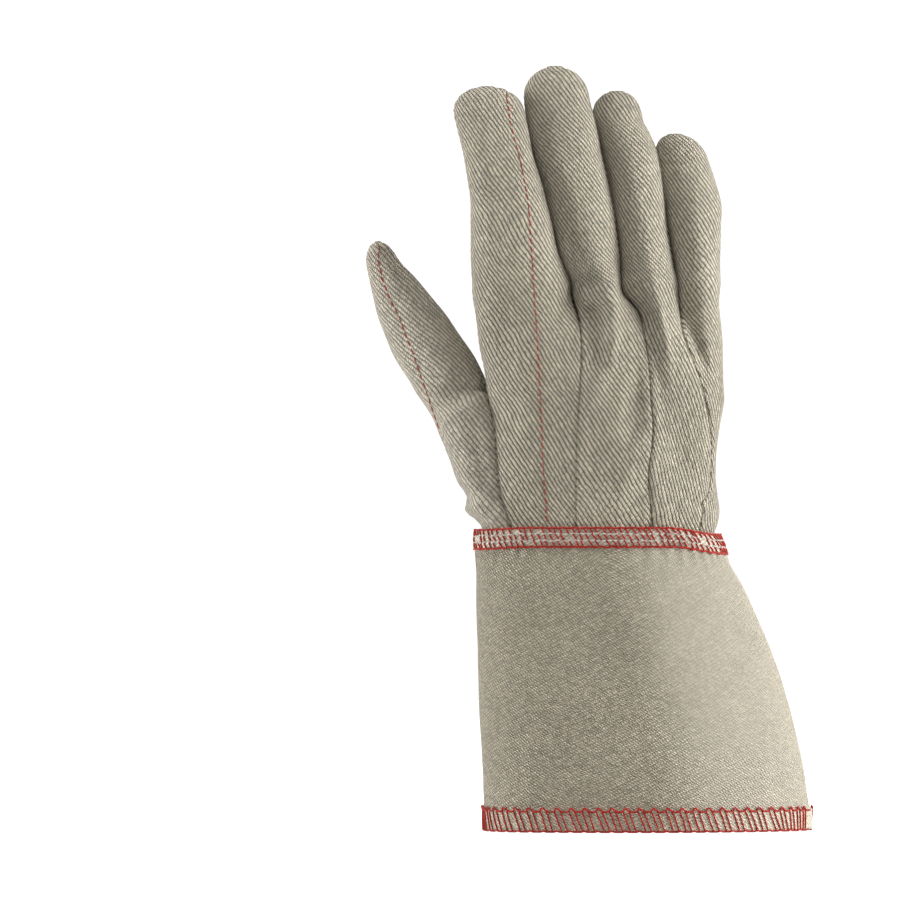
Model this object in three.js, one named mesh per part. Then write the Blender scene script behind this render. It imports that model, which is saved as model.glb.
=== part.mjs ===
// A canvas work glove with a gauntlet cuff, for a right hand. It stands fingers up, filled out to its worn
// shape. +Z runs up the fingers, -Y is the back of the hand, +X is the little finger's side and the origin
// is the middle of the wrist. Sizes are in millimetres and angles in degrees.
//
// The cut: one palm piece covers the palm side of the four fingers and wraps round the outside of the index
// finger to its back. Three narrow back pieces cover the backs of the other fingers down to the wrist. The
// thumb is one folded piece set into the hand's side. A sewn band joins the hand to the stiff, flared cuff.
import * as THREE from "three";
import { mergeVertices } from "three/addons/utils/BufferGeometryUtils.js";

// Cloth
const HAND_CLOTH = 2.4;
const CUFF_CLOTH = 2.0;
const SEAM_GAP = 0.6;

// Levels up the glove
const HAND_BOTTOM = -3.4;
const CROTCH = 72; // the thumb parts from the hand
const FORK = 123; // the fingers part from each other
const BAND = { top: 6, bottom: -3, droopRight: 3.4, droopLeft: 1.2 };
const CUFF_BOTTOM = -138.4;

// How round a section is: 2 is an ellipse, more is squarer
const HAND_SQUARE = 2.3;
const FINGER_SQUARE = 2.15;
const TIP_SQUARE = 2.05;
const TIP_SEAM = 4; // half the width of the short seam over a fingertip

// How far a valley runs down the hand from between two fingers
const VALLEY_ON_BACK = 38;
const VALLEY_ON_PALM = 24;
const THUMB_ROOT = { from: 4, to: 14 }; // the thumb's base grows out of the wrist between these levels
const THUMB_REACH = 16; // how far its oval runs on under the hand's cloth
const THUMB_MERGE = 44; // and over which height below the crotch that begins
const OUTER_SEAM_ANGLE = 14; // the little finger's outer seam lies this far round towards the palm

// Grid steps: columns in half a section, rows up each stretch
const STEPS = { finger: 6, thumb: 7, wrist: 8, palm: 6, digit: 7, tip: 4, round: 48 };

// The hand without its thumb. left and right are its sides, mid its middle plane, back and palm how far each
// side bulges from that, and tilt turns the little finger's side away from the back.
const HAND = sections("z left right mid back palm tilt", [
  [-6, -57.4, 53.8, 0, 26.4, 26.8, 0],
  [2, -57.4, 54, 0, 26.4, 26.8, 0],
  [8, -57.2, 56.2, -0.3, 26.2, 27, 0.01],
  [14, -57, 57, -0.5, 25.5, 27, 0.01],
  [21, -56.6, 56.2, -0.8, 24.8, 27, 0.02],
  [35, -55.8, 54.8, -1.6, 23.6, 26.6, 0.04],
  [43, -55.4, 54.9, -2, 23, 26, 0.05],
  [55, -55, 57, -2.4, 22.2, 25.4, 0.06],
  [67, -54.8, 59.3, -2.8, 21.8, 24, 0.07],
  [76, -55.4, 58.6, -3, 21.4, 22.6, 0.08],
  [96, -58.6, 58.6, -3, 20.5, 20, 0.1],
  [123, -62, 57, -3, 18.5, 18, 0.12],
]);

// Where the seams run on the back of the hand, by the piece on their left, as places along X.
const BACK_SEAMS = sections("z thumb index middle ring", [
  [-6, -44.6, -11.4, 22.6, 48.4],
  [8, -44.6, -11.4, 22.6, 48.6],
  [24, -48.4, -11.6, 22.8, 50.2],
  [43, -51, -11.8, 23.4, 53],
  [56, -53.2, -11, 23.6, 51.6],
  [72, -54.9, -10.2, 23.2, 48],
  [86, -54.9, -9.6, 22, 43],
  [98, -54.9, -9.6, 19.4, 39.6],
  [110, -54.9, -11.6, 14.4, 38],
  [123, -54.9, -14.6, 9.1, 36.6],
]);

// The palm is one piece below the fingers. These lines part the stretches below each finger.
const PALM_LINES = sections("z thumb index middle ring", [
  [-6, -44, -38, -5, 31],
  [30, -43.6, -33, -1, 32],
  [58, -44, -28.6, 2, 33.4],
  [67, -48.6, -27, 3, 34],
  [72, -54.9, -26, 3.4, 34.4],
  [123, -54.9, -14.6, 9.1, 36.6],
]);

// Fingers, from the fork up: the two side seams as places along X and Y, and how far back and palm bulge out.
const FINGER_COLUMNS = "z left leftY right rightY back palm";
const FINGERS = [
  {
    name: "index",
    shoulder: 205,
    tip: 218,
    rows: sections(FINGER_COLUMNS, [
      [123, -62, -10.1, -14.6, -4.5, 15.5, 15],
      [137, -62.9, -9.4, -20.8, -6.4, 14.5, 14.5],
      [150, -62.7, -8, -23.7, -6, 14, 14],
      [168, -63.3, -5, -27.7, -3.6, 13.8, 13.6],
      [185, -66.1, 0, -33, 1, 13.2, 13],
      [198, -69.2, 5.4, -35.4, 6, 12.6, 12.2],
      [205, -70.7, 8.2, -36.8, 8.8, 12, 11.6],
      [218, -71.8, 13, -38, 13, 11, 11],
    ]),
  },
  {
    name: "middle",
    shoulder: 213,
    tip: 228,
    rows: sections(FINGER_COLUMNS, [
      [123, -14.6, -4.5, 9.1, -1.7, 15, 15],
      [137, -20.6, -0.2, 8.6, -2.2, 14.6, 14.4],
      [150, -23.6, 1.6, 6.9, -0.8, 14.2, 14],
      [168, -27.6, 4.6, 4.1, 2.4, 13.8, 13.6],
      [185, -32.8, 9.2, 0.6, 7, 13.4, 13],
      [200, -35.4, 14.8, -2.8, 12.6, 12.6, 12.2],
      [213, -36.6, 19.6, -6.2, 18, 11.6, 11.2],
      [228, -36.8, 23, -6.8, 22, 11, 11],
    ]),
  },
  {
    name: "ring",
    shoulder: 202,
    tip: 216,
    rows: sections(FINGER_COLUMNS, [
      [123, 9.1, -1.7, 36.6, 2, 14.6, 14.6],
      [137, 9, 4, 33.8, 2.2, 14, 14],
      [150, 7.4, 6.2, 31.6, 4.6, 13.6, 13.6],
      [168, 4.4, 10, 29.6, 8.4, 13.2, 13.2],
      [185, 0.7, 14.8, 27.1, 13, 12.8, 12.6],
      [196, -1.8, 18.8, 23, 17.4, 12, 11.8],
      [202, -3.4, 21.2, 20.2, 19.8, 11.6, 11.2],
      [216, -4.6, 24.4, 20.4, 23.4, 10.6, 10.6],
    ]),
  },
  {
    name: "little",
    shoulder: 182,
    tip: 195.4,
    rows: sections(FINGER_COLUMNS, [
      [123, 36.6, 2, 57, 4.2, 13.6, 13.6],
      [137, 34, 8.2, 57.1, 8.4, 13, 13],
      [150, 32, 11, 57.6, 11.6, 12.6, 12.6],
      [162, 30.4, 14, 57.6, 15.2, 12.4, 12.2],
      [175, 28.8, 17.8, 54.4, 19, 12, 11.8],
      [182, 27.6, 20, 52, 21.4, 11.4, 11.2],
      [196, 23.4, 24, 48.6, 25, 10.4, 10.4],
    ]),
  },
];

// The thumb, from the wrist up. Below the crotch its right side is open to the hand.
const THUMB = {
  shoulder: 132,
  tip: 143.6,
  rows: sections(FINGER_COLUMNS, [
    [-6, -57.4, 0, -50, 0, 24, 24],
    [6, -60, 0, -50, 0, 22.5, 23],
    [14, -65.2, 0.6, -50, 0, 23.5, 25.4],
    [21, -64.8, 1.6, -50, 0, 24.5, 26],
    [28, -69, 2.6, -50, 0, 24, 26],
    [41, -73.4, 5, -52, 0, 22.5, 25],
    [50, -77.2, 7, -54, 0, 20.5, 23.4],
    [60, -81.2, 9, -55, 0, 18.8, 21],
    [72, -88, 11, -54.9, -3, 17, 18],
    [82, -94.8, 13, -58.8, 2, 16.4, 16.6],
    [92, -100.6, 14.6, -64.4, 5.4, 15.6, 15.6],
    [106, -106.2, 16.6, -73.8, 9.4, 14.4, 14.4],
    [118, -109.7, 17.8, -83.4, 12.4, 12.8, 12.8],
    [127, -111.6, 18.2, -90.8, 14.6, 11.4, 11.4],
    [134, -113, 18.4, -96.8, 16, 10, 10],
    [144, -114, 18.6, -100.4, 17.4, 9, 9],
  ]),
};

// The cuff, from its hem up. Its back and palm sides meet in a seam on the right, where it is more pointed.
const CUFF = sections("z left right mid back palm squareLeft squareRight", [
  [-138.4, -56.2, 101, 2, 43, 41, 2.9, 1.62],
  [-129.2, -56.2, 101, 1.8, 42.2, 40.2, 2.9, 1.62],
  [-126, -56.2, 99.8, 1.8, 42, 40, 2.9, 1.62],
  [-113, -56.8, 98, 1.5, 41, 39, 2.9, 1.62],
  [-96, -57.9, 94.7, 1.2, 39.4, 37.4, 2.9, 1.62],
  [-73, -58.6, 88.3, 0.8, 37, 35.4, 2.9, 1.62],
  [-50, -59, 80.4, 0.5, 34.6, 33.4, 2.85, 1.66],
  [-27, -59.8, 70.6, 0.2, 32, 31.4, 2.75, 1.8],
  [-15, -60, 65.2, 0.1, 31, 30.8, 2.55, 2.05],
  [-3, -60.4, 60.2, 0, 30, 30, 2.3, 2.3],
  [6, -60.3, 56.9, 0, 29.4, 29.8, 2.3, 2.3],
]);
const HEM = { height: 9.6, proud: 0.5 };

// Folds in the cloth: each runs from (x1, z1) to (x2, z2) and rises by its height, or sinks where that is
// negative.
const FOLD_COLUMNS = ["x1", "z1", "x2", "z2", "width", "height"];
const BACK_FOLDS = named(FOLD_COLUMNS, [
  [-6, 126, -2, 84, 4.6, -2.6], // the middle finger's piece sinks, then stands up beside its seam
  [6.4, 127, 5, 86, 3.4, 2.8],
  [15, 126, 27.6, 74, 4, -2.8], // the same on the ring finger's piece
  [21, 141, 32.6, 87, 2.8, 2.6],
  [17.8, 88, 14.6, 46, 4.8, -2], // slack across the middle of the back
  [31, 66, 40, 30, 7, -1.2],
  [40, 109, 51, 80, 3.6, -2.4], // under the little finger
  [-30, 112, -28, 20, 12, 1.2],
  [-78, 72, -58, 71, 5.4, -3], // the crease under the thumb
  [-62, 60, -56, 28, 4, -1.8],
  [-60, 30, -48, 22, 4, -2],
  [-64, 20, -54, 12, 5, 2.2],
]);
const PALM_FOLDS = named(FOLD_COLUMNS, [
  [23, 121, 19.6, 98, 4, -2.4],
  [-29, 122, -50, 70, 6, 2],
  [-26, 118, -18, 108, 4, -2],
  [-18, 100, -22, 20, 9, -1.6],
  [6, 96, 4, 20, 10, 1.4],
  [40, 110, 44, 30, 10, 1.2],
]);

// Names the numbers of each row.
function named(names, rows) {
  return rows.map((row) => Object.fromEntries(names.map((name, i) => [name, row[i]])));
}

// A table of sections, a row for each level. The result reads it at any level along smooth curves.
function sections(columns, rows) {
  const names = columns.split(" ");
  const slope = (i, c) => {
    const below = rows[Math.max(i - 1, 0)];
    const above = rows[Math.min(i + 1, rows.length - 1)];
    return (above[c] - below[c]) / (above[0] - below[0]);
  };
  return (level) => {
    const z = THREE.MathUtils.clamp(level, rows[0][0], rows.at(-1)[0]);
    let i = 0;
    while (i < rows.length - 2 && rows[i + 1][0] < z) i++;
    const span = rows[i + 1][0] - rows[i][0];
    const t = (z - rows[i][0]) / span;
    const [t2, t3] = [t * t, t * t * t];
    const value = (c) =>
      (2 * t3 - 3 * t2 + 1) * rows[i][c] +
      (3 * t2 - 2 * t3) * rows[i + 1][c] +
      (t3 - 2 * t2 + t) * span * slope(i, c) +
      (t3 - t2) * span * slope(i + 1, c);
    return Object.fromEntries(names.map((name, c) => [name, c ? value(c) : level]));
  };
}

const smooth = (t) => THREE.MathUtils.smoothstep(t, 0, 1);
const mix = THREE.MathUtils.lerp;

// A cosine or sine bent so that it draws a squarer or a rounder oval.
const bent = (value, square) => Math.sign(value) * Math.abs(value) ** (2 / square);

// A point of the hand's section. Angle 0 is the little finger's side, 90 the palm, 180 the thumb's side and
// 270 the back.
function handPoint(z, angle) {
  const s = HAND(z);
  const turn = THREE.MathUtils.degToRad(angle);
  const x = ((s.right - s.left) / 2) * bent(Math.cos(turn), HAND_SQUARE);
  const bulge = Math.sin(turn) < 0 ? s.back : s.palm;
  const y = s.mid + s.tilt * x + bulge * bent(Math.sin(turn), HAND_SQUARE);
  return new THREE.Vector3((s.right + s.left) / 2 + x, y, z);
}

// The angle at which the hand's section reaches a place along X, on its back or its palm side.
function handAngle(z, x, onBack) {
  const s = HAND(z);
  const share = (x - (s.right + s.left) / 2) / ((s.right - s.left) / 2);
  const cosine = THREE.MathUtils.clamp(bent(share, 4 / HAND_SQUARE), -1, 1);
  const angle = THREE.MathUtils.radToDeg(Math.acos(cosine));
  return onBack ? 360 - angle : angle;
}

// A digit's section at a level: its two side points and its bulges, closing to a short seam at the tip.
function digitSection(digit, z) {
  const s = digit.rows(z);
  const over = THREE.MathUtils.clamp((z - digit.shoulder) / (digit.tip - digit.shoulder), 0, 1);
  const narrow = (1 - over ** TIP_SQUARE) ** (1 / TIP_SQUARE);
  const half = new THREE.Vector2(s.right - s.left, s.rightY - s.leftY).multiplyScalar(0.5);
  const middle = new THREE.Vector2((s.right + s.left) / 2, (s.rightY + s.leftY) / 2);
  const seam = Math.min(TIP_SEAM / half.length(), 1);
  half.multiplyScalar(Math.max(narrow, seam));
  const flat = Math.max(Math.sqrt(1 - over ** 2), 0.06);
  return { middle, half, back: s.back * flat, palm: s.palm * flat };
}

// A point of an oval section. Angle 180 is its left side, 270 its back, 0 its right side and 90 its palm.
function ovalPoint({ middle, half, back, palm }, angle, z) {
  const turn = THREE.MathUtils.degToRad(angle);
  const along = bent(Math.cos(turn), FINGER_SQUARE);
  const out = bent(Math.sin(turn), FINGER_SQUARE) * (Math.sin(turn) < 0 ? back : palm);
  const across = new THREE.Vector2(-half.y, half.x).normalize();
  return new THREE.Vector3(
    middle.x + half.x * along + across.x * out,
    middle.y + half.y * along + across.y * out,
    z,
  );
}

// Moves a point of the hand's surface outwards or inwards where a fold runs past it.
function foldCloth(point, onBack, weight) {
  let rise = 0;
  for (const f of onBack ? BACK_FOLDS : PALM_FOLDS) {
    const run = new THREE.Vector2(f.x2 - f.x1, f.z2 - f.z1);
    const from = new THREE.Vector2(point.x - f.x1, point.z - f.z1);
    const share = THREE.MathUtils.clamp(from.dot(run) / run.lengthSq(), 0, 1);
    const away = from.sub(run.multiplyScalar(share)).length();
    rise += f.height * Math.exp(-((away / f.width) ** 2)) * Math.sin(Math.PI * mix(0.15, 0.85, share));
  }
  point.y += (onBack ? -1 : 1) * rise * weight;
  return point;
}

// How far folds count at an angle of the hand: wholly on its back and palm, not at all on its sides.
function foldShare(angle) {
  const slope = Math.abs(Math.sin(THREE.MathUtils.degToRad(angle)));
  return THREE.MathUtils.smoothstep(slope, 0.26, 0.7);
}

// The place of a seam on the hand's middle plane, as X and Y.
function seamInside(z, angle) {
  const [right, left] = [handPoint(z, 0), handPoint(z, 180)];
  const share = (right.x - handPoint(z, angle).x) / (right.x - left.x);
  const inside = right.lerp(left, share);
  return new THREE.Vector2(inside.x, inside.y);
}

// The surface of one finger's back or palm side, at share u from the left to the right and at a level z.
function fingerPoint(i, onBack, u, z) {
  const finger = FINGERS[i];
  const angle = onBack ? 180 + 180 * u : 180 - 180 * u;
  const onFinger = Math.sin(Math.PI * u);
  if (z >= FORK) return foldCloth(ovalPoint(digitSection(finger, z), angle, z), onBack, onFinger);
  const lines = (onBack ? BACK_SEAMS : PALM_LINES)(z);
  const seamAngles = [
    z < CROTCH ? handAngle(z, lines.thumb, onBack) : 180,
    handAngle(z, lines.index, onBack),
    handAngle(z, lines.middle, onBack),
    handAngle(z, lines.ring, onBack),
    onBack ? 360 + OUTER_SEAM_ANGLE : OUTER_SEAM_ANGLE,
  ];
  const handAt = mix(seamAngles[i], seamAngles[i + 1], u);
  const onHand = handPoint(z, handAt);
  const root = digitSection(finger, FORK);
  const sides = [seamAngles[i], seamAngles[i + 1]].map((a) => seamInside(z, a));
  const below = {
    middle: sides[0].clone().add(sides[1]).multiplyScalar(0.5),
    half: sides[1].clone().sub(sides[0]).multiplyScalar(0.5),
    back: root.back,
    palm: root.palm,
  };
  const asFinger = 1 - smooth((FORK - z) / (onBack ? VALLEY_ON_BACK : VALLEY_ON_PALM));
  const point = onHand.lerp(ovalPoint(below, angle, z), asFinger);
  return foldCloth(point, onBack, mix(foldShare(handAt), onFinger, asFinger));
}

// The surface of the thumb's back or palm side, at share u from its outer side to its seam.
function thumbPoint(onBack, u, z) {
  const angle = onBack ? 180 + 180 * u : 180 - 180 * u;
  const weight = Math.sin(Math.PI * Math.min(u, 0.5));
  if (z >= CROTCH) return foldCloth(ovalPoint(digitSection(THUMB, z), angle, z), onBack, weight);
  const edgeAt = (back) => handAngle(z, (back ? BACK_SEAMS : PALM_LINES)(z).thumb, back);
  const edge = handPoint(z, edgeAt(onBack));
  const inside = handPoint(z, edgeAt(true)).lerp(handPoint(z, edgeAt(false)), 0.5);
  // Its oval reaches on into the hand, the further the lower. The seam cuts it where the hand's cloth begins.
  const s = THUMB.rows(z);
  const reach = THUMB_REACH * smooth((CROTCH - z) / THUMB_MERGE);
  const width = inside.x - s.left;
  const cosine = bent((width - reach) / (width + reach), 4 / FINGER_SQUARE);
  const end = THREE.MathUtils.radToDeg(Math.acos(cosine));
  const left = new THREE.Vector2(s.left, s.leftY);
  const right = new THREE.Vector2(inside.x + reach, inside.y);
  const section = {
    middle: left.clone().add(right).multiplyScalar(0.5),
    half: right.clone().sub(left).multiplyScalar(0.5),
    back: s.back,
    palm: s.palm,
  };
  const turnAt = (share) => (onBack ? mix(180, 360 - end, share) : mix(180, end, share));
  const bulged = ovalPoint(section, turnAt(u), z);
  bulged.add(edge.clone().sub(ovalPoint(section, turnAt(1), z)).multiplyScalar(u ** 2));
  const onHand = handPoint(z, mix(180, edgeAt(onBack), u));
  const root = THREE.MathUtils.smoothstep(z, THUMB_ROOT.from, THUMB_ROOT.to);
  return foldCloth(onHand.lerp(bulged, root), onBack, mix(weight, foldShare(edgeAt(onBack)), u ** 3));
}

// A grid of points: columns across and rows up, ordered so that its faces point out of the glove.
function grid(columns, levels, pointAt, onBack) {
  const shares = Array.from({ length: columns + 1 }, (_, j) => j / columns);
  if (!onBack) shares.reverse();
  return levels.map((z) => shares.map((u) => pointAt(u, z)));
}

// The corners of a grid's triangles, each cell cut along its shorter diagonal.
function corners(rows) {
  const list = [];
  for (let i = 0; i + 1 < rows.length; i++)
    for (let j = 0; j + 1 < rows[i].length; j++) {
      const [a, b, c, d] = [rows[i][j], rows[i][j + 1], rows[i + 1][j + 1], rows[i + 1][j]];
      list.push(...(a.distanceTo(c) < b.distanceTo(d) ? [a, b, c, a, c, d] : [a, b, d, b, c, d]));
    }
  return list;
}

// Gives every point the outward direction of the whole surface there, so that cloths share it at their seam.
function face(grids) {
  const points = grids.flatMap(corners);
  const whole = mergeVertices(new THREE.BufferGeometry().setFromPoints(points), 1e-3);
  whole.computeVertexNormals();
  points.forEach((point, k) => {
    point.out = new THREE.Vector3().fromBufferAttribute(whole.attributes.normal, whole.index.getX(k));
  });
}

// Draws a grid's free edges back along the cloth, so that two cloths sewn together keep a gap.
function trim(rows, { left, right, top, from = 0, to = rows.length - 1 }) {
  const last = rows[0].length - 1;
  const shifts = [];
  for (const [wanted, edge, sign] of [
    [left, 0, 1],
    [right, last, -1],
  ])
    for (let i = from; wanted && i <= to; i++) {
      const seam = rows[Math.min(i + 1, rows.length - 1)][edge].clone().sub(rows[Math.max(i - 1, 0)][edge]);
      shifts.push([rows[i][edge], seam.cross(rows[i][edge].out).setLength((sign * SEAM_GAP) / 2)]);
    }
  if (top)
    rows.at(-1).forEach((point, j) => {
      shifts.push([point, rows.at(-2)[j].clone().sub(point).setLength(SEAM_GAP)]);
    });
  for (const [point, shift] of shifts) point.add(shift);
}

// Joins grids into one sheet of cloth with its thickness laid inwards, as one closed solid.
function cloth(grids, thickness) {
  const points = grids.flatMap(corners);
  const sheet = mergeVertices(new THREE.BufferGeometry().setFromPoints(points), 1e-3);
  const n = sheet.attributes.position.count;
  const index = sheet.index.array;
  const outer = [];
  points.forEach((point, k) => (outer[index[k]] = point));
  const inner = outer.map((point) => point.clone().addScaledVector(point.out, -thickness));
  const faces = [];
  const edges = new Set();
  for (let i = 0; i < index.length; i += 3)
    for (let k = 0; k < 3; k++) edges.add(`${index[i + k]} ${index[i + ((k + 1) % 3)]}`);
  for (let i = 0; i < index.length; i += 3) {
    const [a, b, c] = index.slice(i, i + 3);
    faces.push(a, b, c, c + n, b + n, a + n);
    for (const [p, q] of [[a, b], [b, c], [c, a]])
      if (!edges.has(`${q} ${p}`)) faces.push(q, p, p + n, q, p + n, q + n);
  }
  const solid = new THREE.BufferGeometry().setFromPoints([...outer, ...inner]);
  solid.setIndex(faces);
  return solid;
}

const climb = (from, to, steps) => Array.from({ length: steps }, (_, i) => mix(from, to, i / steps));
const HAND_LEVELS = [...climb(HAND_BOTTOM, CROTCH, STEPS.wrist), ...climb(CROTCH, FORK, STEPS.palm)];
const CROTCH_ROW = STEPS.wrist;
const FORK_ROW = STEPS.wrist + STEPS.palm;

// The levels over a digit's rounded tip, closer together towards the end.
function tipLevels({ shoulder, tip }) {
  const rise = (i) => Math.sin((Math.PI / 2) * (i / STEPS.tip));
  return Array.from({ length: STEPS.tip + 1 }, (_, i) => mix(shoulder, tip, rise(i)));
}

const fingerLevels = (finger) => [
  ...HAND_LEVELS,
  ...climb(FORK, finger.shoulder, STEPS.digit),
  ...tipLevels(finger),
];

const fingerGrid = (i, onBack) =>
  grid(STEPS.finger, fingerLevels(FINGERS[i]), (u, z) => fingerPoint(i, onBack, u, z), onBack);

// At a fork the way up the seam turns aside, so there the cloth is drawn away from the next finger and,
// on the back, from the palm.
function liftForks(rows, onBack, ends) {
  for (const j of ends) {
    const point = rows[FORK_ROW].at(j);
    point.out = new THREE.Vector3(0, 0, 1);
    point.y += (onBack ? -1 : 1) * (SEAM_GAP / 2);
    if (onBack) point.x += Math.sign(rows[FORK_ROW].at(j ? -2 : 1).x - point.x) * (SEAM_GAP / 2);
  }
}

// All of the hand's cloth, as grids that touch along their seams
const THUMB_LEVELS = [
  ...climb(HAND_BOTTOM, CROTCH, STEPS.wrist),
  ...climb(CROTCH, THUMB.shoulder, STEPS.digit),
  ...tipLevels(THUMB),
];
const BACKS = FINGERS.map((_, i) => fingerGrid(i, true));
const PALMS = FINGERS.map((_, i) => fingerGrid(i, false));
const THUMBS = [true, false].map((onBack) =>
  grid(STEPS.thumb, THUMB_LEVELS, (u, z) => thumbPoint(onBack, u, z), onBack),
);
face([...BACKS, ...PALMS, ...THUMBS]);

function palmPiece() {
  const last = FINGERS.length - 1;
  PALMS.forEach((rows, i) => {
    // These columns run from the right to the left.
    if (i < last) liftForks(rows, false, [0]);
    if (i > 0) liftForks(rows, false, [-1]);
    trim(rows, { left: true, top: true, from: i < last ? FORK_ROW + 1 : 0 });
    if (i > 0) trim(rows, { right: true, from: FORK_ROW + 1 });
  });
  const indexBack = BACKS[0];
  trim(indexBack, { right: true, to: FORK_ROW - 1 });
  trim(indexBack, { right: true, top: true, from: FORK_ROW + 1 });
  liftForks(indexBack, true, [-1]);
  trim(indexBack, { left: true, to: CROTCH_ROW - 1 });
  trim(PALMS[0], { right: true, to: CROTCH_ROW - 1 });
  // The fold over the index finger's outside ends at the tip in one shared point.
  indexBack.at(-1)[0].copy(PALMS[0].at(-1).at(-1));
  return cloth([...PALMS, indexBack], HAND_CLOTH);
}

function backPiece(i) {
  const isLast = i === FINGERS.length - 1;
  trim(BACKS[i], { left: true, right: true, to: FORK_ROW - 1 });
  trim(BACKS[i], { right: isLast, from: FORK_ROW, to: FORK_ROW });
  trim(BACKS[i], { left: true, right: true, top: true, from: FORK_ROW + 1 });
  liftForks(BACKS[i], true, isLast ? [0] : [0, -1]);
  return cloth([BACKS[i]], HAND_CLOTH);
}

function thumbPiece() {
  trim(THUMBS[0], { right: true, top: true });
  trim(THUMBS[1], { left: true, top: true });
  THUMBS[0].at(-1)[0].copy(THUMBS[1].at(-1).at(-1));
  // The crotch of the thumb stands clear of the hand's cloth, which is whole there.
  for (const [rows, j] of [
    [THUMBS[0], -1],
    [THUMBS[1], 0],
  ])
    rows[CROTCH_ROW].at(j).x -= SEAM_GAP;
  return cloth(THUMBS, HAND_CLOTH);
}

// A point of the cuff's section at an angle, pushed out by a small step.
function cuffPoint(z, angle, level, step = 0) {
  const s = CUFF(level);
  const turn = THREE.MathUtils.degToRad(angle);
  const [c, n] = [Math.cos(turn), Math.sin(turn)];
  const square = c > 0 ? s.squareRight : s.squareLeft;
  const bulge = (n < 0 ? s.back : s.palm) + step;
  const x = ((s.right - s.left) / 2 + step) * bent(c, square);
  return new THREE.Vector3((s.right + s.left) / 2 + x, s.mid + bulge * bent(n, square), z);
}

// How far the band and the cuff's top sink at the two sides.
function droop(angle) {
  const c = Math.cos(THREE.MathUtils.degToRad(angle));
  const share = smooth((Math.abs(c) - 0.5) / 0.5);
  return share * (c > 0 ? BAND.droopRight : BAND.droopLeft);
}

// A closed wall round the glove: rings of outer points and, inside them, rings of inner points.
function ringWall(rings) {
  face([rings]);
  return cloth([rings], CUFF_CLOTH);
}

const ANGLES = Array.from({ length: STEPS.round + 1 }, (_, i) => (360 * (i % STEPS.round)) / STEPS.round);

function cuffPiece() {
  const hemTop = CUFF_BOTTOM + HEM.height;
  const levels = [CUFF_BOTTOM, hemTop - 0.8, hemTop, -112, -92, -72, -52, -34, -18];
  const rings = levels.map((z) =>
    ANGLES.map((angle) => cuffPoint(z, angle, z, z < hemTop ? HEM.proud : 0)),
  );
  const top = BAND.bottom - SEAM_GAP;
  rings.push(ANGLES.map((angle) => cuffPoint(top - droop(angle), angle, top)));
  return ringWall(rings);
}

function bandPiece() {
  const rings = [BAND.bottom, BAND.top].map((z) =>
    ANGLES.map((angle) => cuffPoint(z - droop(angle), angle, z)),
  );
  return ringWall(rings);
}

// Unbleached cotton, in a heavy twill for the hand and a stiffer one for the cuff
const cotton = new THREE.MeshStandardMaterial({ color: 0xbdb5a0, roughness: 0.95, metalness: 0 });
const duck = new THREE.MeshStandardMaterial({ color: 0xc2bbaa, roughness: 0.92, metalness: 0 });
const seamCloth = new THREE.MeshStandardMaterial({ color: 0xc98a78, roughness: 0.9, metalness: 0 });

const glove = new THREE.Group();
glove.name = "canvas_work_glove";

function add(name, geometry, material) {
  const mesh = new THREE.Mesh(geometry, material);
  mesh.name = name;
  glove.add(mesh);
}

add("palm", palmPiece(), cotton);
for (const i of [1, 2, 3]) add(`back_${FINGERS[i].name}`, backPiece(i), cotton);
add("thumb", thumbPiece(), cotton);
add("wrist_band", bandPiece(), seamCloth);
add("cuff", cuffPiece(), duck);

export default glove;
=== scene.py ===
# %% [markdown]
# # The looks of a canvas work glove
#
# The glove stands with its fingers up, filled out to its worn shape: heavy cotton twill, red quilting
# lines, an overlocked band at the wrist and a stiff, flared cuff. The solid model gives each cloth's true
# shape and place. Here each cloth gets its fine form, its weave and its stitches.
#
# A cloth simulation could drape flat cloths into a glove. The glove's form comes from its cut, though,
# and the solid model already has that as short tables of sections. So the same tables are read again at
# many more points, and seams, folds and gathers are added where they run.

import math

import bmesh
import bpy
import numpy as np
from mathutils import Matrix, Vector


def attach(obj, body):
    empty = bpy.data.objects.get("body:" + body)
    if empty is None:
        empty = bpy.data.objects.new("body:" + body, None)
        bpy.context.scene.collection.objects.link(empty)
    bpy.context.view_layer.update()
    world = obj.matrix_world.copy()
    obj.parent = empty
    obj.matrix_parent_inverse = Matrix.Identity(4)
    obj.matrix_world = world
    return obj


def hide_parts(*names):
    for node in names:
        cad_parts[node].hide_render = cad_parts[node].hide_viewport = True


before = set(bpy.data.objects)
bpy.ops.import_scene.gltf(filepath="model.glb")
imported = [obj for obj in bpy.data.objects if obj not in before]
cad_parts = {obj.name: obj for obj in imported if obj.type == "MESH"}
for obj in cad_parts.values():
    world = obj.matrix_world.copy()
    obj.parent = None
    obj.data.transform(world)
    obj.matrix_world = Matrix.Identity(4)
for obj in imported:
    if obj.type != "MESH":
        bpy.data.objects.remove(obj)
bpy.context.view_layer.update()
print("solid model:", list(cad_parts))

# %% [markdown]
# ## Sizes
#
# All sizes are in millimetres until a mesh is made, and levels run up the glove from the wrist. A
# squareness of 2 makes a section a plain oval, and a higher one squares its corners.

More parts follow.
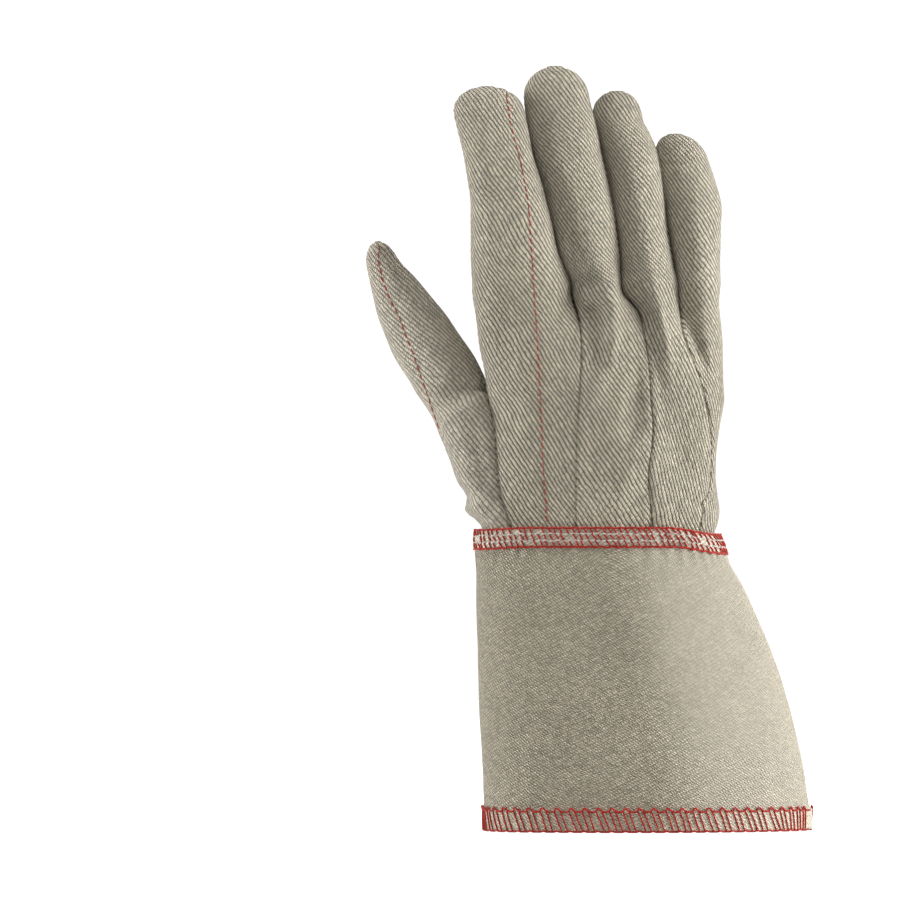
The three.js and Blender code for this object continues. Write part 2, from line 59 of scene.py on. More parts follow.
# %% Sizes
HAND_BOTTOM = -3.4
CROTCH = 72  # where the thumb parts from the hand
FORK = 123  # where the fingers part from each other
BAND = {"top": 6, "bottom": -3, "droop right": 3.4, "droop left": 1.2}
CUFF_BOTTOM = -138.4
HEM_TOP = CUFF_BOTTOM + 9.6
STIFF_CLOTH = 2.0  # the thickness of the band and the cuff
HAND_SQUARE = 2.3
FINGER_SQUARE = 2.15
TIP_SQUARE = 2.05
TIP_SEAM = {"thumb": 1.5, "finger": 4}  # half the width of the short seam over a tip
VALLEY_ON_BACK = 38  # how far the valleys between the fingers run down from the fork
VALLEY_ON_PALM = 24
THUMB_ROOT = (4, 14)  # the thumb's base rises out of the hand between these levels
THUMB_REACH = 16  # how far its oval runs on under the hand's cloth
THUMB_MERGE = 44  # and over which height below the crotch that begins
OUTER_SEAM_ANGLE = 14  # the little finger's outer seam lies this far round towards the palm
FINGER_NAMES = ("index", "middle", "ring", "little")

print("glove from", CUFF_BOTTOM, "up; thumb from", CROTCH, "and fingers from", FORK)

# %% [markdown]
# ## Sections of the hand
#
# Each row of a table is one level. The hand is an oval from left to right, with its middle along Y, its
# bulges to the back and to the palm, and a tilt. The seams of the back and the lines between the palm's
# four stretches are places along X. Between the rows, every column follows a smooth curve.

# %% Sections of the hand
def sections(columns, rows):
    """A table of sections. The result reads every column at any levels along smooth curves."""
    names = columns.split()
    data = np.array(rows, float)
    z = data[:, 0]
    below, above = np.maximum(np.arange(len(z)) - 1, 0), np.minimum(np.arange(len(z)) + 1, len(z) - 1)
    slope = (data[above] - data[below]) / (z[above] - z[below])[:, None]

    def at(level):
        level = np.clip(np.asarray(level, float), z[0], z[-1])
        i = np.clip(np.searchsorted(z, level) - 1, 0, len(z) - 2)
        span = z[i + 1] - z[i]
        t = (level - z[i]) / span
        start, end = 2 * t**3 - 3 * t**2 + 1, 3 * t**2 - 2 * t**3
        leave, arrive = (t**3 - 2 * t**2 + t) * span, (t**3 - t**2) * span
        return {
            name: start * data[i, c] + end * data[i + 1, c] + leave * slope[i, c] + arrive * slope[i + 1, c]
            for c, name in enumerate(names)
        }

    return at


HAND = sections("z left right mid back palm tilt", [
    (-6, -57.4, 53.8, 0, 26.4, 26.8, 0),
    (2, -57.4, 54, 0, 26.4, 26.8, 0),
    (8, -57.2, 56.2, -0.3, 26.2, 27, 0.01),
    (14, -57, 57, -0.5, 25.5, 27, 0.01),
    (21, -56.6, 56.2, -0.8, 24.8, 27, 0.02),
    (35, -55.8, 54.8, -1.6, 23.6, 26.6, 0.04),
    (43, -55.4, 54.9, -2, 23, 26, 0.05),
    (55, -55, 57, -2.4, 22.2, 25.4, 0.06),
    (67, -54.8, 59.3, -2.8, 21.8, 24, 0.07),
    (76, -55.4, 58.6, -3, 21.4, 22.6, 0.08),
    (96, -58.6, 58.6, -3, 20.5, 20, 0.1),
    (123, -62, 57, -3, 18.5, 18, 0.12),
])
BACK_SEAMS = sections("z thumb index middle ring", [
    (-6, -43.2, -11.8, 23.4, 47.4),
    (6, -43.2, -11.8, 23.4, 47.4),
    (10, -44.4, -11.9, 24, 48),
    (13.4, -45.6, -12, 23.9, 48.6),
    (17.8, -47.4, -12, 23.5, 48),
    (20.6, -48.2, -12, 23.2, 50.2),
    (24, -48.9, -12, 22.8, 51.9),
    (30, -49.6, -12, 22.6, 52.6),
    (37, -50.2, -12, 23, 52.8),
    (43, -50.6, -11.9, 24, 53),
    (50, -51.2, -11.6, 24.6, 52.8),
    (56, -51.8, -11, 24.8, 52),
    (72, -54.9, -10.2, 23.6, 49),
    (86, -54.9, -9.6, 22.7, 44.6),
    (98, -54.9, -9.6, 21.1, 40),
    (108.5, -54.9, -11.2, 18.7, 38.2),
    (115.2, -54.9, -12.8, 15.6, 37.2),
    (123, -54.9, -14.6, 9.1, 36.6),
])
PALM_LINES = sections("z thumb index middle ring", [
    (-6, -44, -38, -5, 31),
    (30, -43.6, -33, -1, 32),
    (58, -44, -28.6, 2, 33.4),
    (67, -48.6, -27, 3, 34),
    (72, -54.9, -26, 3.4, 34.4),
    (123, -54.9, -14.6, 9.1, 36.6),
])

print("a section halfway up the hand:", {name: round(float(v), 1) for name, v in HAND(FORK / 2).items()})

# %% [markdown]
# ## Sections of the fingers and the thumb
#
# A digit's section runs from its left side point to its right one, each with its own place along Y, and
# bulges to the back and to the palm. From its shoulder up it closes to its tip.

# %% Sections of the fingers and the thumb
DIGIT_COLUMNS = "z left leftY right rightY back palm"
FINGERS = [
    {"name": "index", "shoulder": 205, "tip": 218, "rows": sections(DIGIT_COLUMNS, [
        (123, -62, -10.1, -14.6, -4.5, 15.5, 15),
        (137, -62.9, -9.4, -20.8, -6.4, 14.5, 14.5),
        (150, -62.7, -8, -23.7, -6, 14, 14),
        (168, -63.3, -5, -27.7, -3.6, 13.8, 13.6),
        (185, -66.1, 0, -33, 1, 13.2, 13),
        (198, -69.2, 5.4, -35.4, 6, 12.6, 12.2),
        (205, -70.7, 8.2, -36.8, 8.8, 12, 11.6),
        (218, -71.8, 13, -38, 13, 11, 11),
    ])},
    {"name": "middle", "shoulder": 213, "tip": 228, "rows": sections(DIGIT_COLUMNS, [
        (123, -14.6, -4.5, 9.1, -1.7, 15, 15),
        (137, -20.6, -0.2, 8.6, -2.2, 14.6, 14.4),
        (150, -23.6, 1.6, 6.9, -0.8, 14.2, 14),
        (168, -27.6, 4.6, 4.1, 2.4, 13.8, 13.6),
        (185, -32.8, 9.2, 0.6, 7, 13.4, 13),
        (200, -35.4, 14.8, -2.8, 12.6, 12.6, 12.2),
        (213, -36.6, 19.6, -6.2, 18, 11.6, 11.2),
        (228, -36.8, 23, -6.8, 22, 11, 11),
    ])},
    {"name": "ring", "shoulder": 202, "tip": 216, "rows": sections(DIGIT_COLUMNS, [
        (123, 9.1, -1.7, 36.6, 2, 14.6, 14.6),
        (137, 9, 4, 33.8, 2.2, 14, 14),
        (150, 7.4, 6.2, 31.6, 4.6, 13.6, 13.6),
        (168, 4.4, 10, 29.6, 8.4, 13.2, 13.2),
        (185, 0.7, 14.8, 27.1, 13, 12.8, 12.6),
        (196, -1.8, 18.8, 23, 17.4, 12, 11.8),
        (202, -3.4, 21.2, 20.2, 19.8, 11.6, 11.2),
        (216, -4.6, 24.4, 20.4, 23.4, 10.6, 10.6),
    ])},
    {"name": "little", "shoulder": 182, "tip": 195.4, "rows": sections(DIGIT_COLUMNS, [
        (123, 36.6, 2, 57, 4.2, 13.6, 13.6),
        (137, 34, 8.2, 57.1, 8.4, 13, 13),
        (150, 32, 11, 57.6, 11.6, 12.6, 12.6),
        (162, 30.4, 14, 57.6, 15.2, 12.4, 12.2),
        (175, 28.8, 17.8, 54.4, 19, 12, 11.8),
        (182, 27.6, 20, 52, 21.4, 11.4, 11.2),
        (196, 23.4, 24, 48.6, 25, 10.4, 10.4),
    ])},
]
THUMB = {"name": "thumb", "shoulder": 132, "tip": 143.6, "rows": sections(DIGIT_COLUMNS, [
    (-6, -57.4, 0, -50, 0, 24, 24),
    (6, -60, 0, -50, 0, 22.5, 23),
    (14, -65.2, 0.6, -50, 0, 23.5, 25.4),
    (21, -64.8, 1.6, -50, 0, 24.5, 26),
    (28, -69, 2.6, -50, 0, 24, 26),
    (41, -73.4, 5, -52, 0, 22.5, 25),
    (50, -77.2, 7, -54, 0, 20.5, 23.4),
    (60, -81.2, 9, -55, 0, 18.8, 21),
    (72, -88, 11, -54.9, -3, 17, 18),
    (82, -94.8, 13, -58.8, 2, 16.4, 16.6),
    (92, -100.6, 14.6, -64.4, 5.4, 15.6, 15.6),
    (106, -106.2, 16.6, -73.8, 9.4, 14.4, 14.4),
    (118, -109.7, 17.8, -83.4, 12.4, 12.8, 12.8),
    (127, -111.6, 18.2, -90.8, 14.6, 11.4, 11.4),
    (134, -113, 18.4, -96.8, 16, 10, 10),
    (144, -114, 18.6, -100.4, 17.4, 9, 9),
])}

print("tips at", [digit["tip"] for digit in FINGERS + [THUMB]])

# %% [markdown]
# ## Sections of the cuff and the band
#
# One table serves both. The left and the right half of each oval have their own squareness.

# %% Sections of the cuff and the band
CUFF = sections("z left right mid back palm squareLeft squareRight", [
    (-138.4, -56.2, 101, 2, 43, 41, 2.9, 1.62),
    (-129.2, -56.2, 101, 1.8, 42.2, 40.2, 2.9, 1.62),
    (-126, -56.2, 99.8, 1.8, 42, 40, 2.9, 1.62),
    (-113, -56.8, 98, 1.5, 41, 39, 2.9, 1.62),
    (-96, -57.9, 94.7, 1.2, 39.4, 37.4, 2.9, 1.62),
    (-73, -58.6, 88.3, 0.8, 37, 35.4, 2.9, 1.62),
    (-50, -59, 80.4, 0.5, 34.6, 33.4, 2.85, 1.66),
    (-27, -59.8, 70.6, 0.2, 32, 31.4, 2.75, 1.8),
    (-15, -60, 65.2, 0.1, 31, 30.8, 2.55, 2.05),
    (-3, -60.4, 60.2, 0, 30, 30, 2.3, 2.3),
    (6, -60.3, 56.9, 0, 29.4, 29.8, 2.3, 2.3),
])

mouth = CUFF(CUFF_BOTTOM)
print("the cuff's mouth is", round(float(mouth["right"] - mouth["left"]), 1), "wide")

# %% [markdown]
# ## Folds
#
# Each fold runs from (x1, z1) to (x2, z2), with its width and its height, and sinks where the height is
# negative. The large ones are the solid model's too. The fine ones are only here.

# %% Folds
BACK_FOLDS = [
    (-6, 126, -2, 84, 4.6, -2.6),
    (6.4, 127, 5, 86, 3.4, 2.8),
    (15, 126, 27.6, 74, 4, -2.8),
    (21, 141, 32.6, 87, 2.8, 2.6),
    (17.8, 88, 14.6, 46, 4.8, -2),
    (31, 66, 40, 30, 7, -1.2),
    (40, 109, 51, 80, 3.6, -2.4),
    (-30, 112, -28, 20, 12, 1.2),
    (-78, 72, -58, 71, 5.4, -3),
    (-62, 60, -56, 28, 4, -1.8),
    (-60, 30, -48, 22, 4, -2),
    (-64, 20, -54, 12, 5, 2.2),
]
FINE_BACK_FOLDS = [
    (-13, 114.5, -2, 117, 3.2, 2),
    (-14, 125, 1, 124, 3.6, -2),
    (-8, 116, -9, 103, 2, 1),
    (27, 118, 31.4, 94, 1.7, 1.2),
    (39.4, 110, 51, 79, 3.4, -1.6),
    (49.5, 113, 55, 84, 4, 1.8),
    (-82, 65, -58, 70.5, 4, -4.4),
    (-82, 59.6, -57, 64, 2.6, 2.8),
    (-107, 143, -93, 124, 1.2, -1),
    (4.4, 90, -6, 62, 4, 1.5),
    (18, 46, 5, 9, 4.4, 1.5),
    (-12, 40, 11, 41, 4.2, -1.3),
    (35, 44, 41.5, 33, 6, -1.8),
    (28, 30, 30, 6, 4, 0.9),
    (-60.5, 206, -55.5, 174, 5, 1.3),
    (-49, 178, -46.5, 154, 6, -1.6),
    (-56, 150, -50, 122, 6, 0.9),
    (-42, 120, -47, 84, 6, -0.9),
    (-38, 92, -36, 44, 4.6, 1),
    (-21, 66, -19, 8, 5, -1),
    (-70, 96, -62, 76, 6, -2),
    (-26, 196, -12, 160, 5, 1),
    (-28, 168, -10, 134, 4, -1),
    (13, 182, 24, 140, 4.6, 0.9),
    (45, 160, 52, 120, 5, 0.9),
    (52, 60, 53, 30, 3, -1.4),
]
PALM_FOLDS = [
    (23, 121, 19.6, 98, 4, -2.4),
    (-29, 122, -50, 70, 6, 2),
    (-26, 118, -18, 108, 4, -2),
    (-18, 100, -22, 20, 9, -1.6),
    (6, 96, 4, 20, 10, 1.4),
    (40, 110, 44, 30, 10, 1.2),
]
print(len(BACK_FOLDS + PALM_FOLDS), "large folds and", len(FINE_BACK_FOLDS), "fine ones")

# %% [markdown]
# ## Points of a section
#
# These turn a table's row into points. Angles go round a section from the little finger's side at 0
# degrees over the palm at 90 and the thumb's side at 180 to the back at 270.

# %% Points of a section
def smooth(t):
    t = np.clip(t, 0, 1)
    return t * t * (3 - 2 * t)


def bent(value, square):
    """A cosine or sine bent so that it draws a squarer or a rounder oval."""
    return np.sign(value) * np.abs(value) ** (2 / square)


def mix(a, b, share):
    return a + (b - a) * share


def way_along(line):
    """The way from a line's start to each of its points."""
    return np.concatenate([[0], np.cumsum(np.linalg.norm(np.diff(line, axis=0), axis=1))])


def unit(vectors):
    return vectors / np.maximum(np.linalg.norm(vectors, axis=-1, keepdims=True), 1e-12)


def hand_point(z, angle):
    """Points of the hand's sections."""
    s = HAND(z)
    turn = np.radians(angle)
    x = (s["right"] - s["left"]) / 2 * bent(np.cos(turn), HAND_SQUARE)
    bulge = np.where(np.sin(turn) < 0, s["back"], s["palm"])
    y = s["mid"] + s["tilt"] * x + bulge * bent(np.sin(turn), HAND_SQUARE)
    return np.stack(np.broadcast_arrays((s["right"] + s["left"]) / 2 + x, y, z), -1)


def hand_angle(z, x, on_back):
    """The angle at which the hand's section reaches a place along X."""
    s = HAND(z)
    share = (x - (s["right"] + s["left"]) / 2) / ((s["right"] - s["left"]) / 2)
    angle = np.degrees(np.arccos(np.clip(bent(share, 4 / HAND_SQUARE), -1, 1)))
    return 360 - angle if on_back else angle


def digit_section(digit, z):
    """A digit's middle, half width and bulges at each level, closing to a short seam at its tip."""
    s = digit["rows"](z)
    over = np.clip((z - digit["shoulder"]) / (digit["tip"] - digit["shoulder"]), 0, 1)
    half = np.stack([s["right"] - s["left"], s["rightY"] - s["leftY"]], -1) / 2
    middle = np.stack([s["right"] + s["left"], s["rightY"] + s["leftY"]], -1) / 2
    narrow = (1 - over**TIP_SQUARE) ** (1 / TIP_SQUARE)
    seam = TIP_SEAM["thumb" if digit["name"] == "thumb" else "finger"]
    seam = np.minimum(seam / np.linalg.norm(half, axis=-1), 1)
    half = half * np.maximum(narrow, seam)[..., None]
    flat = np.maximum(np.sqrt(1 - over**2), 0.04)
    return middle, half, s["back"] * flat, s["palm"] * flat


def oval_point(section, angle, z):
    """Points of a digit's sections."""
    middle, half, back, palm = section
    turn = np.radians(angle)
    out = bent(np.sin(turn), FINGER_SQUARE) * np.where(np.sin(turn) < 0, back, palm)
    across = unit(np.stack([-half[..., 1], half[..., 0]], -1))
    xy = middle + half * bent(np.cos(turn), FINGER_SQUARE)[..., None] + across * out[..., None]
    return np.concatenate([xy, np.broadcast_to(z, xy.shape[:-1])[..., None]], -1)


def fold_share(angle):
    """How far folds count: wholly on the back and the palm, not at all on the sides."""
    return smooth((np.abs(np.sin(np.radians(angle))) - 0.26) / 0.44)


def fold_cloth(points, on_back, weight):
    """Moves the surface outwards or inwards where a fold runs past."""
    rise = np.zeros(points.shape[:-1])
    folds = BACK_FOLDS + FINE_BACK_FOLDS if on_back else PALM_FOLDS
    for x1, z1, x2, z2, width, height in folds:
        run = np.array([x2 - x1, z2 - z1], float)
        start = points[..., [0, 2]] - np.array([x1, z1], float)
        share = np.clip(start @ run / (run @ run), 0, 1)
        away = np.linalg.norm(start - share[..., None] * run, axis=-1)
        rise += height * np.exp(-((away / width) ** 2)) * np.sin(math.pi * mix(0.15, 0.85, share))
    points = points.copy()
    points[..., 1] += (-1 if on_back else 1) * rise * weight
    return points


print("the back at the middle of the knuckles:", hand_point(100.0, 270.0).round(1))

# %% [markdown]
# ## The hand's surface
#
# A finger is an oval tube above the fork and a stretch of the hand's own section below it. Between the
# two, over a few centimetres, one turns into the other, which leaves the valleys that run down the hand
# from between the fingers. The thumb's base does the same beside its seam.

# %% The hand's surface
SIDE_MERGE = 16  # over this height below the fork the side points run into the finger's own
VALLEY_BEND = 1.6  # how quickly a finger's form fades down its valley
CROTCH_PULL = {"low": 2, "high": 10, "reach": 10}  # how narrowly the thumb's cloth is drawn to its seam


def stretch_edges(low, on_back):
    """The angles at which the hand's section passes from one finger's stretch to the next."""
    lines = (BACK_SEAMS if on_back else PALM_LINES)(low)
    first = np.where(low < CROTCH, hand_angle(low, lines["thumb"], on_back), 180)
    last = np.full_like(low, 360.0 + OUTER_SEAM_ANGLE if on_back else OUTER_SEAM_ANGLE)
    return [first, *(hand_angle(low, lines[name], on_back) for name in ("index", "middle", "ring")), last]


def finger_below(finger, low, edges):
    """The oval that carries a finger's form on below the fork, between two places inside the hand."""
    right_end, left_end = hand_point(low, np.zeros_like(low)), hand_point(low, np.full_like(low, 180.0))
    sides = []
    for edge in edges:
        point = hand_point(low, edge)
        share = (right_end[..., 0] - point[..., 0]) / (right_end[..., 0] - left_end[..., 0])
        sides.append(mix(right_end, left_end, share[..., None])[..., :2])
    root = finger["rows"](float(FORK))
    near = smooth(1 - (FORK - low) / SIDE_MERGE)[..., None]
    sides[0] = mix(sides[0], np.array([root["left"], root["leftY"]]), near)
    sides[1] = mix(sides[1], np.array([root["right"], root["rightY"]]), near)
    _, _, back, palm = digit_section(finger, np.full_like(low, float(FORK)))
    return (sides[0] + sides[1]) / 2, (sides[1] - sides[0]) / 2, back, palm


def finger_points(i, on_back, u, z):
    """The surface of a finger's back or palm side, at shares u from left to right and at levels z."""
    finger = FINGERS[i]
    u, z = np.broadcast_arrays(u, z)
    angle = 180 + 180 * u if on_back else 180 - 180 * u
    high = np.maximum(z, FORK)
    finger_part = oval_point(digit_section(finger, high), angle, high)
    low = np.minimum(z, FORK)
    edges = stretch_edges(low, on_back)[i : i + 2]
    hand_at = mix(edges[0], edges[1], u)
    below = oval_point(finger_below(finger, low, edges), angle, low)
    valley = VALLEY_ON_BACK if on_back else VALLEY_ON_PALM
    as_finger = (1 - smooth((FORK - low) / valley)) ** VALLEY_BEND
    hand_part = mix(hand_point(low, hand_at), below, as_finger[..., None])
    points = np.where((z >= FORK)[..., None], finger_part, hand_part)
    bow = np.sin(math.pi * u)
    weight = np.where(z >= FORK, bow, mix(fold_share(hand_at), bow, as_finger))
    return fold_cloth(points, on_back, weight)


def thumb_base(on_back, u, low, edge_at):
    """The thumb's cloth below the crotch: an oval that runs on under the hand's cloth, drawn to the seam."""
    edge = hand_point(low, edge_at[on_back])
    inside = mix(hand_point(low, edge_at[True]), hand_point(low, edge_at[False]), 0.5)
    s = THUMB["rows"](low)
    reach = THUMB_REACH * smooth((CROTCH - low) / THUMB_MERGE)
    width = inside[..., 0] - s["left"]
    end = np.degrees(np.arccos(bent((width - reach) / (width + reach), 4 / FINGER_SQUARE)))
    left = np.stack([s["left"], s["leftY"]], -1)
    right = np.stack([inside[..., 0] + reach, inside[..., 1]], -1)
    section = (left + right) / 2, (right - left) / 2, s["back"], s["palm"]
    stop = 360 - end if on_back else end
    # Just under the crotch only the cloth beside the seam is drawn to it, and lower down the whole side is.
    near = smooth(1 - (CROTCH - low) / CROTCH_PULL["reach"])
    pull = u ** mix(CROTCH_PULL["low"], CROTCH_PULL["high"], near)
    bulged = oval_point(section, mix(180, stop, u), low)
    bulged += (edge - oval_point(section, stop, low)) * pull[..., None]
    root = smooth((low - THUMB_ROOT[0]) / (THUMB_ROOT[1] - THUMB_ROOT[0]))
    return mix(hand_point(low, mix(180, edge_at[on_back], u)), bulged, root[..., None])


def thumb_points(on_back, u, z):
    """The surface of the thumb's back or palm side, at shares u from its outer side to its seam."""
    u, z = np.broadcast_arrays(u, z)
    angle = 180 + 180 * u if on_back else 180 - 180 * u
    high = np.maximum(z, CROTCH)
    thumb_part = oval_point(digit_section(THUMB, high), angle, high)
    low = np.minimum(z, CROTCH - 1e-6)
    seams = {True: BACK_SEAMS, False: PALM_LINES}
    edge_at = {back: hand_angle(low, seams[back](low)["thumb"], back) for back in seams}
    hand_part = thumb_base(on_back, u, low, edge_at)
    is_high = z >= CROTCH
    weight = np.sin(math.pi * np.minimum(u, 0.5))
    weight = np.where(is_high, weight, mix(weight, fold_share(edge_at[on_back]), u**3))
    return fold_cloth(np.where(is_high[..., None], thumb_part, hand_part), on_back, weight)


print("the middle finger's back just over the fork:", finger_points(1, True, 0.5, FORK + 1.0).round(1))

# %% [markdown]
# ## Grids
#
# Each side of each digit becomes a grid of points. Columns crowd towards the seams, where the cloth turns
# in, and rows crowd towards the tip. The crotch of the thumb is evened out, and the palm's edge is drawn
# shut against the little finger's back piece.

# %% Grids
COLUMNS = 30
CROWDING = 0.55
ROW = 1.25
TIP_ROWS = 15
TIP_CAP = {"height": 1.2, "rise": 0.6}  # the last stretch of a tip and how far its middle is rounded up


def climb(start, end, step):
    return np.linspace(start, end, max(int(round((end - start) / step)), 1), endpoint=False)


def digit_levels(digit):
    over = np.sin(np.linspace(0, math.pi / 2, TIP_ROWS))
    return np.concatenate([
        climb(HAND_BOTTOM, CROTCH, ROW),
        climb(CROTCH, FORK, ROW) if digit is not THUMB else climb(CROTCH, digit["shoulder"], ROW),
        climb(FORK, digit["shoulder"], ROW) if digit is not THUMB else [],
        mix(digit["shoulder"], digit["tip"], over),
    ])


SHARES = np.linspace(0, 1, COLUMNS + 1)
SHARES = mix(SHARES, (1 - np.cos(math.pi * SHARES)) / 2, CROWDING)


class Side:
    """One side of a digit. Later cells give it outward directions, its fine form and cloth coordinates."""

    def __init__(self, name, digit, on_back, points_at):
        self.name, self.digit, self.on_back = name, digit, on_back
        self.levels = digit_levels(digit)
        self.shares = SHARES if on_back else SHARES[::-1]
        self.points = points_at(self.shares[None, :], self.levels[:, None])
        over = smooth((self.levels - digit["tip"]) / TIP_CAP["height"] + 1)[:, None]
        self.points[..., 2] += TIP_CAP["rise"] * over * (1 - (2 * self.shares - 1) ** 2)
        if digit is THUMB:
            self.soften(CROTCH, reach=7.0, blur=3.0)

    def soften(self, level, reach, blur):
        """Evens out the rows about one level, but not the seam below it."""
        away = self.levels[:, None] - self.levels[None, :]
        weight = np.exp(-((away / blur) ** 2))
        weight /= weight.sum(1, keepdims=True)
        even = np.einsum("ab,bcd->acd", weight, self.points)
        near = np.exp(-(((self.levels - level) / reach) ** 2))[:, None]
        hold = np.where(self.levels[:, None] < level + 0.1, 1 - self.shares[None, :] ** 6, 1.0)
        even[..., 2] = self.points[..., 2]
        self.points = mix(self.points, even, (near * hold)[..., None])


SIDES = [
    Side(finger["name"], finger, on_back, lambda u, z, i=i, b=on_back: finger_points(i, b, u, z))
    for on_back in (True, False)
    for i, finger in enumerate(FINGERS)
]
SIDES += [Side("thumb", THUMB, b, lambda u, z, b=b: thumb_points(b, u, z)) for b in (True, False)]


def side_named(name, on_back):
    return next(s for s in SIDES if s.name == name and s.on_back == on_back)


def close_outer_seam(reach=0.35):
    """Draws the palm's edge to the little finger's back piece, so that the seam between them is shut."""
    back, palm = side_named("little", True), side_named("little", False)
    apart = back.points[:, -1:] - palm.points[:, :1]
    palm.points += apart * (1 - smooth((1 - palm.shares) / reach))[None, :, None]


close_outer_seam()
print(len(SIDES), "sides,", sum(s.points.shape[0] * s.points.shape[1] for s in SIDES), "points")

# %% [markdown]
# ## Directions and unevenness
#
# Every point gets the surface's outward direction, so that later steps can raise or sink the cloth. A sum
# of slow waves stands for the cloth's unevenness.

# %% Directions and unevenness
WAVE_COUNT = 18
WAVE_LENGTHS = (16, 44)


def outward(grids):
    """The outward direction of the whole surface at every point, shared where grids touch."""
    points = np.concatenate([g.reshape(-1, 3) for g in grids])
    _, key = np.unique(np.round(points * 200).astype(np.int64), axis=0, return_inverse=True)
    key = key.reshape(-1)
    total = np.zeros((key.max() + 1, 3))
    start = 0
    for g in grids:
        rows, columns = g.shape[:2]
        ids = key[start : start + rows * columns].reshape(rows, columns)
        start += rows * columns
        face = np.cross(g[1:, 1:] - g[:-1, :-1], g[1:, :-1] - g[:-1, 1:])
        for corner in (ids[:-1, :-1], ids[:-1, 1:], ids[1:, 1:], ids[1:, :-1]):
            np.add.at(total, corner.reshape(-1), face.reshape(-1, 3))
    total = unit(total)
    out, start = [], 0
    for g in grids:
        n = g.shape[0] * g.shape[1]
        out.append(total[key[start : start + n]].reshape(g.shape))
        start += n
    return out


def spread(points):
    """The way across each row and up each column, in millimetres of cloth."""
    across = np.linalg.norm(np.diff(points, axis=1), axis=-1)
    up = np.linalg.norm(np.diff(points, axis=0), axis=-1)
    return np.pad(np.cumsum(across, 1), ((0, 0), (1, 0))), np.pad(np.cumsum(up, 0), ((1, 0), (0, 0)))


rng = np.random.default_rng(7)
WAVES = unit(rng.normal(size=(WAVE_COUNT, 3)))
WAVES *= (2 * math.pi / rng.uniform(*WAVE_LENGTHS, WAVE_COUNT))[:, None]
STARTS = rng.uniform(0, 2 * math.pi, WAVE_COUNT)


def ripples(points, scale=1.0):
    """Soft unevenness, the same for all cloths at one place, about one millimetre from high to low."""
    return np.sin(points @ (WAVES / scale).T + STARTS).sum(-1) * 2 / WAVE_COUNT


def lift_tips(side, out):
    """Turns the outward direction upwards over the last of the tip, where the two sides meet."""
    over = smooth((side.levels - side.digit["tip"] + 1.0) / 0.9)[:, None, None]
    return unit(mix(out, np.array([0, 0, 1.0]), over))


for side, out in zip(SIDES, outward([s.points for s in SIDES])):
    side.out = lift_tips(side, out)
    side.across, side.up = spread(side.points)

print("the widest side is", round(max(float(s.across.max()) for s in SIDES), 1), "across")

# %% [markdown]
# ## Quilting lines
#
# Each red quilting line runs through places along X and Z on one side of a digit, from its upper end to
# its lower one.

# %% Quilting lines
QUILTING = {
    ("index", True): [
        (-45.4, 215), (-43.2, 199), (-38.4, 180.5), (-35, 161.8), (-33.6, 141.6), (-32.2, 118),
        (-31.2, 102), (-29.8, 78.7), (-28.8, 55.2), (-27.8, 32.2), (-25.9, 6),
    ],
    ("index", False): [
        (-46, 216), (-49.4, 204), (-52.8, 186), (-52.6, 169), (-49.4, 144.5), (-47, 118), (-52.6, 78),
    ],
    ("middle", False): [
        (-20, 226), (-17.4, 210), (-14.4, 195), (-8.2, 166), (-5.8, 138.7), (-9.6, 114), (-14.9, 86),
        (-21.1, 68), (-22.6, 38.9), (-26.4, 6),
    ],
    ("ring", False): [
        (7.6, 214), (10, 196), (13.9, 169), (17, 138.7), (19, 120), (20.2, 97), (15.4, 82), (14.4, 54),
        (13.9, 31.7), (12.5, 6),
    ],
    ("little", False): [
        (36.5, 193), (41.4, 178), (44.6, 150.7), (46.1, 126), (48, 117), (48.6, 92.6), (48, 61.9),
        (47.4, 31.7), (45.6, 6),
    ],
    ("thumb", True): [
        (-106.6, 142), (-106.9, 134), (-105, 124.8), (-101.5, 115.9), (-96.8, 107), (-94, 98.9),
        (-90.7, 90.7), (-84.7, 73.4), (-78, 54), (-74.6, 44),
    ],
    ("thumb", False): [
        (-72, 62), (-67.2, 52), (-64.8, 44), (-61, 24), (-55, 6),
    ],
}


def quilting_at(side):
    """The line's place along X at each level of a side, or nothing where it has none."""
    line = QUILTING.get((side.name, side.on_back))
    if line is None:
        return None
    x, z = np.array(line, float).T
    order = np.argsort(z)
    return np.interp(side.levels, z[order], x[order], left=np.nan, right=np.nan)


print(len(QUILTING), "quilting lines")

# %% [markdown]
# ## Seams, rolls and puckers
#
# Where two cloths are sewn together they dip into the seam. The turned-in edge stands up as a roll beside
# it, most of all on the fingers' palm side. The stitches of a seam pucker the cloth beside them, and a
# quilting line pulls the cloth in a little. Over each tip both sides sink to their seam.

# %% Seams
UNEVEN = 0.55  # how far the cloth's unevenness raises or sinks it
PUCKER = {"height": 0.16, "reach": 2.6, "period": 3.6, "drift": 2.2}
TIP_SINK = {"height": 1.6, "depth": 0.3}  # the two sides are sewn together over a tip


def seam_dip(distance, depth=0.8, width=0.8):
    return -depth * np.exp(-((distance / width) ** 2))


def roll(distance, height=0.9, away=3.4, width=1.5):
    return height * np.exp(-(((distance - away) / width) ** 2))


def thumb_rise(left, right, z):
    """The thumb's one seam dips, and above the crotch the turned-in edge stands up beside it."""
    return seam_dip(right) + roll(right, height=0.5) * smooth((z - CROTCH) / 8)


def back_rise(name, left, right, z, above_fork):
    """The seams of a back piece, which grow flatter down the hand."""
    deep = mix(0.4, 1.0, smooth((z - 66) / 44))
    if name == "index":
        rise = seam_dip(right) * deep + seam_dip(left) * (z < CROTCH)
    else:
        rise = (seam_dip(left) + seam_dip(right)) * deep + roll(left, height=0.3, away=1.9, width=1.1)
    rise = rise + seam_dip(right, depth=0.3, width=2.0) * (1 - above_fork)
    return rise + roll(right, height=0.35, away=3, width=1.6) * above_fork


